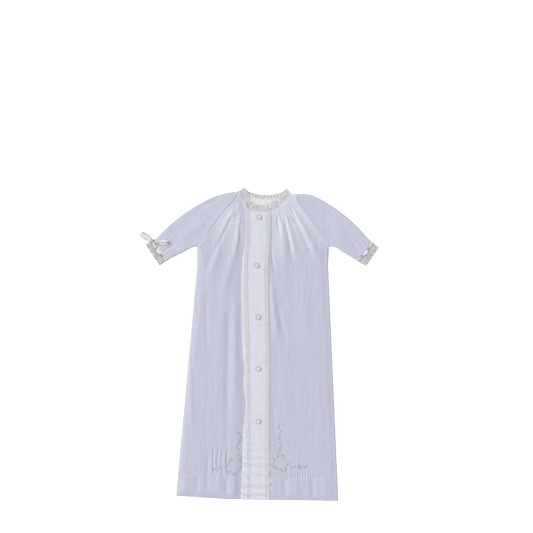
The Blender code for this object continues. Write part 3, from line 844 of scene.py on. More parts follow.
def grid_faces(rows: int, columns: int, closed: bool, walls: int) -> Array:
    """Corners of the faces of one wall, or of two walls and the rims between them.

    Args:
        rows, columns: How many points stand each way.
        closed: Whether the last column joins the first.
        walls: 1, or 2 for a solid.

    Returns:
        Row, column and wall of each face's corners; a closed grid's last column is numbered past the end.
    """
    spans = columns if closed else columns - 1
    i, j = (axis.ravel() for axis in np.meshgrid(np.arange(rows - 1), np.arange(spans), indexing="ij"))
    groups = [[(i, j, 0), (i + 1, j, 0), (i + 1, j + 1, 0), (i, j + 1, 0)]]
    if walls == 2:
        groups.append([(i, j, 1), (i, j + 1, 1), (i + 1, j + 1, 1), (i + 1, j, 1)])
        j, end = np.arange(spans), rows - 1
        groups.append([(0, j, 0), (0, j + 1, 0), (0, j + 1, 1), (0, j, 1)])
        groups.append([(end, j + 1, 0), (end, j, 0), (end, j, 1), (end, j + 1, 1)])
        if not closed:
            i, end = np.arange(rows - 1), columns - 1
            groups.append([(i + 1, 0, 0), (i, 0, 0), (i, 0, 1), (i + 1, 0, 1)])
            groups.append([(i, end, 0), (i + 1, end, 0), (i + 1, end, 1), (i, end, 1)])
    made = []
    for group in groups:
        corners = [np.stack(np.broadcast_arrays(*corner), axis=-1) for corner in group]
        made.append(np.stack(corners, axis=1))
    return np.concatenate(made)


def signed_volume(points: Array, faces: Array) -> float:
    """Six times the volume that the faces hold, negative where they point in."""
    a, b, c, d = (points[faces[:, k]] for k in range(4))
    return float((np.cross(a, b) * c).sum() + (np.cross(a, c) * d).sum())


def distances(grid: Array, axis: int) -> Array:
    """How far each point of a grid lies along its column, for axis 0, or along its row, for axis 1."""
    steps = np.linalg.norm(np.diff(grid, axis=axis), axis=2)
    return np.insert(np.cumsum(steps, axis=axis), 0, 0, axis=axis)


def cloth_piece(
    name: str,
    outer: Array,
    thickness: Union[float, Array],
    finish: Material,
    closed: bool = False,
    layers: Union[float, Array] = 0.0,
) -> Piece:
    """A closed sheet of cloth.

    Args:
        name: The piece's name.
        outer: Rows and columns of points on its outer face.
        thickness: How far under them its inner face lies, or that face's points.
        finish: Its material.
        closed: Whether the columns run all round a tube.
        layers: 0 where the cloth is single and 1 where it is double; it also carries painted light near the
            back neck, and painted shade and highlights on satin.

    Returns:
        The object.
    """
    inner = thickness if isinstance(thickness, np.ndarray) else outer - (0, 0, thickness)
    rows, columns = outer.shape[:2]
    corners = grid_faces(rows, columns, closed, 2)
    faces = corners[..., 2] * rows * columns + corners[..., 0] * columns + corners[..., 1] % columns
    points = np.concatenate([outer.reshape(-1, 3), inner.reshape(-1, 3)])
    loop = np.concatenate([outer, outer[:, :1]], axis=1)
    laid = np.stack([distances(loop, 1), distances(loop, 0)], axis=-1)
    laid = laid[corners[..., 0], corners[..., 1]] / UV_UNIT
    if signed_volume(points, faces) < 0:
        faces, laid = faces[:, ::-1], laid[:, ::-1]
    share = np.broadcast_to(layers, (rows, columns)).ravel()
    return add_piece(name, points, faces, finish, laid, values={"layers": np.tile(share, 2)})


def edge_line(rows: Sequence[Strip], edge: str) -> Array:
    """One edge of the neck lace, seam or free."""
    return smooth([getattr(row, edge) for row in rows])


def settle(piece: Piece, slot: str, *nodes: str) -> Piece:
    """Makes a piece ride on the gown, in place of any nodes named.

    Args:
        piece: The finished piece.
        slot: The slot of its finish; not used.
        nodes: The nodes that it stands for.

    Returns:
        The same piece.
    """
    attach(piece, BODY)
    if nodes:
        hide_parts(*nodes)
    LOG.info("%s: %d faces", piece.name, len(piece.data.polygons))
    return piece


def mark_lean(piece: Piece) -> None:
    """Keeps, at each vertex, how far the surface leans from lying level."""
    normals = np.array([vertex.normal for vertex in piece.data.vertices])
    mark(piece.data, "lean", 1 - np.abs(normals[:, 2]))


class Ground:
    """Finds the height of finished cloth under a point."""

    def __init__(self, pieces: Sequence[Piece]) -> None:
        """Reads the pieces' faces.

        Args:
            pieces: Finished pieces that others lie on.
        """
        points: list[tuple[float, float, float]] = []
        faces: list[list[int]] = []
        for piece in pieces:
            start = len(points)
            points += [tuple(vertex.co) for vertex in piece.data.vertices]
            faces += [[start + index for index in face.vertices] for face in piece.data.polygons]
        self.tree = BVHTree.FromPolygons(points, faces)

    def height(self, place: Sequence[float], fallback: float) -> float:
        """The top of the cloth at a place.

        Args:
            place: A point on the table, in garment millimetres.
            fallback: The height where there is no cloth.

        Returns:
            The height in garment millimetres.
        """
        x, y = in_metres(np.array([place[0], place[1], 0.0]))[:2]
        hit = self.tree.ray_cast((x, y, 0.05), (0, 0, -1))[0]
        return fallback if hit is None else hit.z / MM

    def over(self, line: Array, above: float, fallback: float = 3.5) -> Array:
        """The line's points, a little above the cloth."""
        return np.array([(x, y, self.height((x, y), fallback) + above) for x, y in line[:, :2]])


@dataclass(frozen=True)
class GownLay:
    """How the gown lies on the table: its seams, its layers and how high each point of its front stands."""

    front_face: float = 2.3
    band_face: float = 3.6
    loft_height: float = 1.2
    edge_loft: float = 0.1
    hem_depth: float = 39.0
    hem_step: float = 0.4
    lap_edge: float = 8.0
    seam_inset: float = 3.0
    side_curve: float = 14.0
    underarm: float = 470.0
    hem_middle: Point = (-60, 2.0)
    wrinkles: float = 0.25
    lap_ease: float = 0.5

    def cut(self, side: Side) -> SideCut:
        """One side's points."""
        return RIGHT_CUT if side is Side.RIGHT else LEFT_CUT

    def raglan(self, side: Side) -> Array:
        """The seam between body and sleeve, from the neck to the underarm."""
        return smooth(self.cut(side).raglan)

    def side_x(self, side: Side, y: Array) -> Array:
        """The side seam's x at a height."""
        chest, corner = self.cut(side).chest, self.cut(side).corner
        return np.interp(y, (corner[1], chest[1]), (corner[0], chest[0]))

    def band_x(self, column: str, y: Array) -> Array:
        """One of the placket's lines at a height."""
        rows = smooth([(row.y, getattr(row, column)) for row in PLACKET])[::-1]
        return np.interp(y, rows[:, 0], rows[:, 1])

    def band_seam(self, y: Array) -> Array:
        """Where the placket is sewn to the left front."""
        return self.band_x("lace_left_out", y) - self.seam_inset

    def neck_y(self, x: Array) -> Array:
        """The front neck seam's height at an x."""
        seam = edge_line(FRONT_NECK, "seam")
        return np.interp(x, seam[:, 0], seam[:, 1])

    def hem_y(self, x: Array) -> Array:
        """The hem's lower edge."""
        low = np.array([RIGHT_CUT.corner, self.hem_middle, LEFT_CUT.corner])
        return np.interp(x, low[:, 0], low[:, 1])

    def below_arm(self, y: Array, depth: float) -> Array:
        """From 0 at the underarm to 1 a little below it."""
        return blend(y, self.underarm, self.underarm - depth)

    def clear_of_band(self, side: Side, x: Array, y: Array) -> Array:
        """From 0 where a front lies under the placket, or meets it, to 1 where its folds are free.

        Args:
            side: Which front.
            x, y: Places on the table.

        Returns:
            The share at each place.
        """
        if side is Side.RIGHT:
            return blend(self.band_x("free_edge", y) - x, -1.5, 15)
        return blend(x - self.band_x("lace_left_out", y), 0.5, 6)

    def from_side(self, x: Array, y: Array) -> Array:
        """How far a point lies inside the side seams."""
        return np.minimum(x - self.side_x(Side.RIGHT, y), self.side_x(Side.LEFT, y) - x)

    def loft(self, side: Side, points: Array) -> Array:
        """How far a front stands above its lowest face, folds included.

        Args:
            side: Which front.
            points: Places on the table.

        Returns:
            The height at each place.
        """
        x, y = points[..., 0], points[..., 1]
        sides = 1 - self.below_arm(y, 15) * (1 - blend(self.from_side(x, y), 0, self.side_curve))
        over_hem = y - self.hem_y(x)
        level = self.edge_loft + (self.loft_height - self.edge_loft) * sides * blend(over_hem, 0, 10)
        level += self.hem_step * blend(over_hem, self.hem_depth + 0.5, self.hem_depth - 0.5)
        free = self.clear_of_band(side, x, y)
        ease = self.band_face - self.front_face - self.lap_ease
        level = level * free if side is Side.RIGHT else np.minimum(level, ease + 2 * free)
        return level + (fold_relief(points, FRONT_FOLDS) + self.wrinkles * soft_waves(x, y)) * sides * free


@dataclass
class BodyPanels:
    """The back and the two gathered fronts."""

    lay: GownLay
    finish: Material
    thickness: float = 0.36
    columns: int = 150
    back_columns: int = 110
    lap_columns: int = 12
    lap_inset: float = 3.0
    arm_row: float = 452.0
    seam_top: float = 534.0
    gathers: int = 10
    fine_gathers: int = 27
    casing: float = 11.0
    roll: float = 2.2
    lowest: float = 0.75
    ridge: float = 0.3
    groove: float = 0.17

    def _row_shares(self) -> tuple[Array, Array]:
        """Row places down the raglan seam and down the side, closest at the neck and hem."""
        side = np.concatenate([np.linspace(0, 0.8, 72)[:-1], np.linspace(0.8, 1, 58)])
        return even(66) ** 1.1, side

    def _column_shares(self, shares: Array) -> Array:
        """Even shares across a front made closer together at its side."""
        return 1 - (1 - shares) ** 1.25

    def _side_edge(self, side: Side, above: Array, below: Array) -> Array:
        """The raglan seam, then the side seam, at shares of each."""
        top, cut = along(self.lay.raglan(side), above), self.lay.cut(side)
        return np.vstack([top, along(np.array([top[-1], cut.chest, cut.corner]), below)[1:]])

    def _neck_and_hem(self, side: Side) -> tuple[Array, Array, Array]:
        """Neck points, hem points and column shares of a front, from the middle out.

        Args:
            side: Which front.

        Returns:
            The neck's points, the hem's points and the columns' shares.
        """
        seam = edge_line(FRONT_NECK, "seam")
        shares = self._column_shares(even(self.columns + 1))
        if side is Side.RIGHT:
            seam = seam[seam[:, 0] <= PLACKET[0].free_edge + self.lap_inset][::-1]
            neck = along(seam, shares)
            start = np.array([[self.lay.lap_edge, self.lay.neck_y(self.lay.lap_edge)], neck[0]])
            neck = np.vstack([along(start, even(self.lap_columns + 1)[:-1]), neck])
            inner, outer = PLACKET[-1].free_edge + self.lap_inset, RIGHT_CUT.corner[0]
            lap = np.linspace(self.lay.lap_edge, inner, self.lap_columns + 1)[:-1]
        else:
            inner, outer = float(self.lay.band_seam(np.array(0.0))), LEFT_CUT.corner[0]
            first = float(self.lay.band_seam(np.array(self.seam_top)))
            neck = along(np.vstack([[(first, self.lay.neck_y(first))], seam[seam[:, 0] > first]]), shares)
            lap = np.zeros(0)
        x = np.concatenate([lap, inner + (outer - inner) * shares])
        return neck, np.stack([x, self.lay.hem_y(x)], axis=1), (x - x[0]) / (x[-1] - x[0])

    def _front_grid(self, side: Side) -> Array:
        """Places of a front's points on the table.

        Args:
            side: Which front.

        Returns:
            Rows from the neck to the hem, columns from the middle out.
        """
        neck, hem, u = self._neck_and_hem(side)
        above, below = self._row_shares()
        outer = self._side_edge(side, above, below)
        top, arm, foot = neck[0, 1], self.arm_row, hem[0, 1]
        y = np.concatenate([top + (arm - top) * above, arm + (foot - arm) * below[1:]])
        x = np.full(len(y), self.lay.lap_edge) if side is Side.RIGHT else self.lay.band_seam(y)
        inner = np.stack([x, y], axis=1)
        neck[-1], inner[0], inner[-1], hem[-1] = outer[0], neck[0], hem[0], outer[-1]
        return patch(neck, hem, inner, outer, u, (y - y[0]) / (y[-1] - y[0]))

    def _gathers(self, side: Side, grid: Array, down: Array) -> Array:
        """Gathers held in at the neck: fine in the casing, fewer and broader below it.

        Args:
            side: Which front.
            grid: Its places on the table.
            down: How far each place lies below the neck edge.

        Returns:
            How far the gathers lift each place.
        """
        count = grid.shape[1] - 1
        skip = self.lap_columns if side is Side.RIGHT else 0
        share = self._column_shares(np.clip((np.arange(count + 1) - skip) / (count - skip), 0, 1))
        uneven = share + 0.016 * np.sin(11 * share + 0.5) + 0.008 * np.sin(29 * share + 1.3)
        swell = 0.8 + 0.35 * np.sin(17 * share + 0.7) * np.sin(31 * share)
        fade = (0.75 * blend(down, 48, 14) + 0.25 * blend(down, 130, 20)) * blend(down, 3, 15)
        broad = 0.40 * swell * np.cos(2 * np.pi * uneven * self.gathers) * fade
        fine = 0.20 * (1.6 - swell) * np.cos(2 * np.pi * uneven * self.fine_gathers) * blend(down, 26, 8)
        ends = blend(np.minimum(share, 1 - share), 0, 0.06)
        return (broad + fine) * ends

    def _tucks(self, points: Array) -> Array:
        """Released tucks above the hem: narrow grooves between soft ridges, that fade out upwards.

        Args:
            points: Places on the table.

        Returns:
            How far the tucks lift the cloth at each place.
        """
        x, y = points[..., 0], points[..., 1]
        lift = np.zeros(x.shape)
        for block in TUCK_BLOCKS:
            across = blend(x, block.x_from, block.x_from + 4) * blend(x, block.x_to, block.x_to - 3)
            count = (x + 0.8 * np.sin(y / 9) - block.x_from) / block.pitch
            phase, number = count % 1.0, np.floor(count)
            across = across * (0.68 + 0.32 * np.sin(2.3 * number + 1.0))
            top = block.y_to - 5 + 6 * np.sin(1.7 * number)
            reach = blend(y, block.y_from - 6, block.y_from + 4) * blend(y - top, 9, -9)
            lift += block.height * across * reach * (self.ridge - bell(phase - 0.5, self.groove))
        return lift

    def front(self, side: Side) -> Piece:
        """A front, from its gathered neck to its hem.

        Args:
            side: Which front.

        Returns:
            The finished front.
        """
        grid = self._front_grid(side)
        x, y = grid[..., 0], grid[..., 1]
        down = np.linalg.norm(grid - grid[:1], axis=2)
        free = self.lay.clear_of_band(side, x, y)
        from_side = self.lay.from_side(x, y)
        seam, _ = beside(grid, along(self.lay.raglan(side), even(40)))
        height = self.lay.loft(side, grid) + self._gathers(side, grid, down) * free + self._tucks(grid)
        height -= 0.30 * bell(down - self.casing, 0.7) * free
        height -= 0.2 * bell(seam, 1.2) + 0.10 * np.sin(y / 0.7) * blend(seam, 7, 0) * free
        z = self.lay.front_face + np.clip(height, -0.5, 3.7)
        at_side = self.lay.below_arm(y, 8) * (1 - np.clip(from_side / self.roll, 0, 1))
        z -= (z - self.lowest) * (1 - np.sqrt(1 - np.clip(at_side, 0, 1) ** 2))
        casing = 0.75 * blend(down, self.casing + 0.4, self.casing - 0.4)
        allowance = 0.35 * blend(seam, 4.2, 3.4)
        french = 0.22 * blend(from_side, 6.5, 5.6) * self.lay.below_arm(y, 6)
        gathered = 0.58 * blend(down, 125, 30) * free
        layers = np.maximum.reduce([casing, allowance, french, gathered])
        outer, node = np.dstack([grid, z]), f"front_{side.value}"
        piece = cloth_piece(f"{node}_cloth", outer, self.thickness, self.finish, layers=layers)
        settle(piece, "cotton", node)
        return piece

    def back(self) -> Piece:
        """The back, flat on the table but for a few creases.

        Returns:
            The finished back.
        """
        u = even(self.back_columns + 1)
        above, below = even(40), even(90)
        first, last = (self._side_edge(side, above, below) for side in Side)
        neck = along(edge_line(BACK_NECK, "seam"), u)
        x = first[-1, 0] + (last[-1, 0] - first[-1, 0]) * u
        hem = np.stack([x, self.lay.hem_y(x)], axis=1)
        grid = patch(neck, hem, first, last, u, (first[:, 1] - first[0, 1]) / (first[-1, 1] - first[0, 1]))
        x, y = grid[..., 0], grid[..., 1]
        from_side, over_hem = self.lay.from_side(x, y), y - self.lay.hem_y(x)
        inside = blend(from_side, 0.5, 8) * blend(over_hem, 0, 8)
        crease = np.clip(fold_relief(grid, BACK_FOLDS) + 0.08 * soft_waves(x + 31, y - 17), 0, 1.1) * inside
        hem_lift = 0.25 * blend(over_hem, self.lay.hem_depth + 0.5, self.lay.hem_depth - 0.5)
        outer = np.dstack([grid, OFF_TABLE + crease + self.thickness + hem_lift])
        inner = np.dstack([grid, OFF_TABLE + crease])
        hem_layers = blend(over_hem, self.lay.hem_depth + 0.3, self.lay.hem_depth - 0.5)
        edge = 0.25 * blend(from_side, 6.5, 5.6)
        # painted light: the back is painted lighter within about 30 mm of the neck, to lift the shade under
        # the neck lace
        neck_painted_light = blend(np.linalg.norm(grid - grid[:1], axis=2), 32, 28)
        layers = np.maximum.reduce([hem_layers, edge, neck_painted_light])
        piece = cloth_piece("back_cloth", outer, inner, self.finish, layers=layers)
        settle(piece, "cotton", "back")
        return piece


def across_places(count: int) -> Array:
    """Shares across a flattened tube, close together at its two edges."""
    t = even(count + 1)
    return t - 0.8 * np.sin(2 * np.pi * t) / (2 * np.pi)


def tube_ring(
    grid: Array, lift: Array, face: float, inset: float, over: int, under: int, under_lift: Array
) -> Array:
    """Points all round a flattened tube.

    Args:
        grid: Rows of sections, whose columns run across the tube.
        lift: How far each point of the upper wall stands above face.
        face: The height of the upper wall.
        inset: How far inside the outer surface these points lie.
        over, under: Spans over the top and underneath.
        under_lift: How far each point of the lower wall stands above the table.

    Returns:
        Rows of points, over the top and back underneath.
    """
    edge, rounding = 1.15, 3.2
    places = across_places(grid.shape[1] - 1)
    widths = np.linalg.norm(grid[:, -1] - grid[:, 0], axis=1)

    def half(count: int, heights: Array) -> Array:
        """One wall, rounded off at both edges.

        Args:
            count: Its spans.
            heights: Its height at each place of the grid.

        Returns:
            Its points.
        """
        share = across_places(count)
        rows = []
        for row, width, tops in zip(grid, widths, heights):
            at = inset / width + (1 - 2 * inset / width) * share
            near = np.minimum(share, 1 - share) * (width - 2 * inset) / rounding
            rounded = np.sqrt(1 - (1 - np.clip(near, 0, 1)) ** 2)
            held = np.clip(at, 0, 1)
            points = [np.interp(held, places, axis) + (at - held) * (axis[-1] - axis[0]) for axis in row.T]
            rows.append(np.column_stack([*points, edge + (np.interp(at, places, tops) - edge) * rounded]))
        return np.array(rows)

    upper = half(over, face + lift - inset)
    lower = half(under, np.broadcast_to(under_lift, lift.shape) + inset)
    return np.concatenate([upper, lower[:, -2:0:-1]], axis=1)


@dataclass
class Sleeves:
    """Raglan sleeves, each one piece sewn into a tube and gathered into its cuff."""

    lay: GownLay
    finish: Material
    thickness: float = 0.36
    stations: int = 96
    over: int = 112
    under: int = 64
    cuff_puff: float = 7.5
    seam_overlap: float = 0.9
    cuff_gathers: int = 17
    broad_gathers: int = 7
    neck_gathers: int = 30
    wrinkles: float = 0.28

    def cuff_line(self, side: Side, outward: float, shares: Array) -> Array:
        """The line where the sleeve is gathered into its cuff, bowed towards the hand.

        Args:
            side: Which sleeve.
            outward: How far it is moved towards the hand.
            shares: Shares of its length, from the top edge.

        Returns:
            The line's points.
        """
        cut = self.lay.cut(side)
        top, under = np.array(cut.sleeve_top[-1], float), np.array(cut.sleeve_under[-1], float)
        way = np.array([under[1] - top[1], top[0] - under[0]])
        way *= np.sign(way @ (np.array(cut.cuff_end[0]) - top)) / np.linalg.norm(way)
        v = shares[:, None]
        return top + (under - top) * v + way * (self.cuff_puff * np.sin(np.pi * v) + outward)

    def build(self, side: Side) -> Piece:
        """One sleeve.

        Args:
            side: Which sleeve.

        Returns:
            The finished sleeve.
        """
        cut = self.lay.cut(side)
        v, u = across_places(self.over), even(self.stations + 1) ** 0.94
        top, under = along(smooth(cut.sleeve_top), u), along(smooth(cut.sleeve_under), u)
        grid = patch(along(self.lay.raglan(side), v), self.cuff_line(side, 1.0, v), top, under, v, u)
        tucked_in = self.seam_overlap * np.sin(np.pi * v) ** 0.5
        grid[0] += unit(grid[0] - grid[2]) * tucked_in[:, None]
        near_cuff = np.linalg.norm(grid - grid[-1:], axis=2)
        near_body = np.linalg.norm(grid - grid[:1], axis=2)
        wave = np.cos(2 * np.pi * v * self.cuff_gathers + 0.8 * np.sin(11 * v))[None, :]
        broad = np.cos(2 * np.pi * v * self.broad_gathers)[None, :]
        gathers = 0.14 * wave * blend(near_cuff, 20, 2) + 0.15 * broad * blend(near_cuff, 46, 12)
        down = np.linalg.norm(grid - np.array(cut.raglan[0]), axis=2)
        neck = 0.3 * np.cos(2 * np.pi * v * self.neck_gathers)[None, :]
        neck = neck * blend(down, 26, 8) * blend(near_body, 0, 2)
        waves = self.wrinkles * soft_waves(grid[..., 0], grid[..., 1])
        lift = self.lay.loft_height + fold_relief(grid, FRONT_FOLDS) + waves
        puckers = 0.10 * np.sin(grid[..., 1] / 0.7) * blend(near_body, 7, 0)
        seam = 0.12 * blend(near_body, 3.5, 1.5) + 0.22 * blend(near_body, 1.6, 0.5) + puckers
        lift = np.clip(lift + gathers + neck - seam - 0.2 * bell(near_cuff, 1.4), 0, 3.7)
        creases = np.clip(fold_relief(grid, SLEEVE_BACK_FOLDS), 0, 0.8)
        beneath = OFF_TABLE + (creases + 0.18 * (1 + wave) * blend(near_cuff, 16, 2))
        outer, inner = (
            tube_ring(grid, lift, self.lay.front_face, inset, self.over, self.under, beneath)
            for inset in (0.0, self.thickness)
        )
        double = 0.12 + 0.28 * blend(near_body, 4.2, 3.4)
        double = double + 0.5 * blend(near_cuff, 3.4, 2.4) + 0.55 * blend(down, 12, 11)
        ring = np.zeros(outer.shape[:2])
        ring[:, : self.over + 1] = np.clip(double, 0, 1)
        ring[:, self.over + 1:] = ring[:, [self.over // 2]]
        piece = cloth_piece(f"sleeve_{side.value}_cloth", outer, inner, self.finish, closed=True, layers=ring)
        settle(piece, "cotton", f"sleeve_{side.value}")
        return piece


class LacePattern(Enum):
    """The laces on the gown."""

    INSERTION = "insertion"
    EDGING = "edging"
    BEADING = "beading"


class Stroke(NamedTuple):
    """A thread of a lace repeat: its points in millimetres, its radius and how proud it stands."""

    points: Array
    radius: float
    proud: float


@dataclass
class LaceRepeat:
    """One repeat of a lace, drawn flat as threads, pitch millimetres long and width millimetres wide."""

    pattern: LacePattern
    pitch: float
    width: float
    net_thread: float = 0.13
    outline_thread: float = 0.24
    fan_share: float = 0.36
    beading_cords: tuple[Triple, ...] = (
        (0.3, 0.24, 0.1), (4.0, 0.42, 0.0), (4.7, 0.42, 0.0),
        (5.3, 0.21, 0.4), (5.7, 0.21, 0.4), (6.3, 0.4, 0.0),
    )
    strokes: list[Stroke] = field(default_factory=list)

    def line(self, points: Sequence[Point], radius: float, proud: float = 0.0) -> None:
        """Draws a thread through points."""
        self.strokes.append(Stroke(np.array(points, float), radius, proud))

    def cord(self, y: float, radius: float, proud: float = 0.1) -> None:
        """Draws a thread straight along the lace."""
        self.line([(self.pitch * t, y) for t in even(5)], radius, proud)

    def net(self, low: float, high: float, mesh: float = 1.2) -> None:
        """Fills a stretch of the width with crossed net.

        Args:
            low, high: Where it starts in the width, and where it ends.
            mesh: The size of its openings.
        """
        along_count, across_count = max(1, round(self.pitch / mesh)), max(1, round((high - low) / mesh))
        dx, dy = self.pitch / along_count, (high - low) / across_count
        for i in range(along_count):
            for j in range(across_count):
                x, y = i * dx, low + j * dy
                self.line([(x, y), (x + dx, y + dy)], self.net_thread)
                self.line([(x + dx, y), (x, y + dy)], self.net_thread, 0.05)

    def ring(
        self, x: float, y: float, across: float, tall: float, radius: float, count: int = 9, turn: float = 0.0
    ) -> None:
        """Draws a closed loop round x and y, with count sides, turned by an angle in radians."""
        ends = [(across / 2 * np.cos(a), tall / 2 * np.sin(a)) for a in np.linspace(0, 2 * np.pi, count + 1)]
        self.line(np.array([rotated(*end, turn) for end in ends]) + (x, y), radius, 0.22)

    def flower(self, x: float, y: float, size: float, petals: int = 5) -> None:
        """Draws a small open flower.

        Args:
            x, y: Its middle, along the lace and in the width.
            size: Its size across.
            petals: How many it has.
        """
        reach = 0.32 * size
        for k in range(petals):
            turn = 2 * np.pi * k / petals + np.pi / 2
            px, py = x + reach * np.cos(turn), y + reach * np.sin(turn)
            self.ring(px, py, 0.40 * size, 0.30 * size, self.outline_thread, 7, turn)
        self.ring(x, y, 0.2 * size, 0.2 * size, self.outline_thread, 6)

    def scallop(self, y: float, rise: float) -> None:
        """Draws a scalloped edge, highest at both ends of the repeat, with small loops on it.

        Args:
            y: Its lowest place in the width.
            rise: How far its ends rise.
        """
        t = even(9)
        for lift, radius in ((0.0, 0.30), (-0.55, self.outline_thread)):
            arc = y + lift + rise * np.abs(np.cos(np.pi * t)) ** 0.7
            self.line(np.stack([self.pitch * t, arc], axis=1), radius, 0.15)
        for x in (0.12, 0.32, 0.68, 0.88):
            top = y + rise * abs(np.cos(np.pi * x)) ** 0.7
            self.ring(self.pitch * x, top + 0.4, 0.8, 0.7, self.net_thread, 5)

    def fan(self, low: float, high: float, spread: float) -> None:
        """Draws a fan of close threads on each end of the repeat, so that an opening is left between them.

        Args:
            low, high: Where it starts in the width, and where it ends.
            spread: How wide it opens.
        """
        for end, way in ((0.0, 1), (self.pitch, -1)):
            for reach in np.linspace(0.06, 1, 4) * spread:
                middle = (end + way * 0.8 * reach, (low + high) / 2)
                self.line([(end, low), middle, (end + way * reach, high)], 0.28, 0.1)
            for share in (0.35, 0.6, 0.85):
                across = spread * share
                y = low + (high - low) * share
                self.line([(end, y + 0.3), (end + way * across, y)], 0.27, 0.2)

    def _insertion(self) -> None:
        """Net between two corded edges, with a flower in the middle."""
        for y in (0.35, self.width - 0.35):
            self.cord(y, self.outline_thread)
        for y in (1.1, self.width - 1.1):
            self.cord(y, self.net_thread)
        self.net(1.1, self.width - 1.1)
        for size in (4.6, 3.0):
            self.flower(self.pitch / 2, self.width / 2, size)
        for y in (2.0, self.width - 2.0):
            self.ring(0.6, y, 0.9, 1.3, self.outline_thread, 6)

    def _edging(self) -> None:
        """Net with fans on it, and a scalloped edge."""
        for y in (0.3, 0.9):
            self.cord(y, self.outline_thread)
        low, high = 3.2, self.width - 2.2
        self.net(0.9, high, 1.15)
        self.cord(low, 0.27)
        self.fan(low, high, self.fan_share * self.pitch)
        self.scallop(self.width - 2.1, 1.1)

    def _beading(self) -> None:
        """Bars for a ribbon, then net with flowers and fans, and a scalloped edge."""
        for y, radius, proud in self.beading_cords:
            self.cord(y, radius, proud)
        for x in (0.1, 0.5, 0.9):
            self.line([(self.pitch * x, 0.3), (self.pitch * x, 3.9)], self.outline_thread, -0.25)
        low, high = 6.6, self.width - 1.2
        self.net(6.3, high, 1.0)
        for size in (3.6, 2.2):
            self.flower(self.pitch / 2, (low + high) / 2, size)
        self.fan(low, high, 1.2)
        self.scallop(high, 0.4)

    def drawn(self) -> LaceRepeat:
        """Draws the threads of this pattern, and returns the repeat.

        Returns:
            The same repeat.
        """
        patterns = {
            LacePattern.INSERTION: self._insertion,
            LacePattern.EDGING: self._edging,
            LacePattern.BEADING: self._beading,
        }
        patterns[self.pattern]()
        return self


def line_edges(lines: Sequence[Array]) -> Array:
    """The edges along several lines whose points are kept one line after another.

    Args:
        lines: Each line's points.

    Returns:
        Vertex numbers of both ends of each edge.
    """
    starts = np.cumsum([0] + [len(line) for line in lines])
    first = np.concatenate([np.arange(len(line) - 1) + start for line, start in zip(lines, starts)])
    return np.stack([first, first + 1], axis=1)


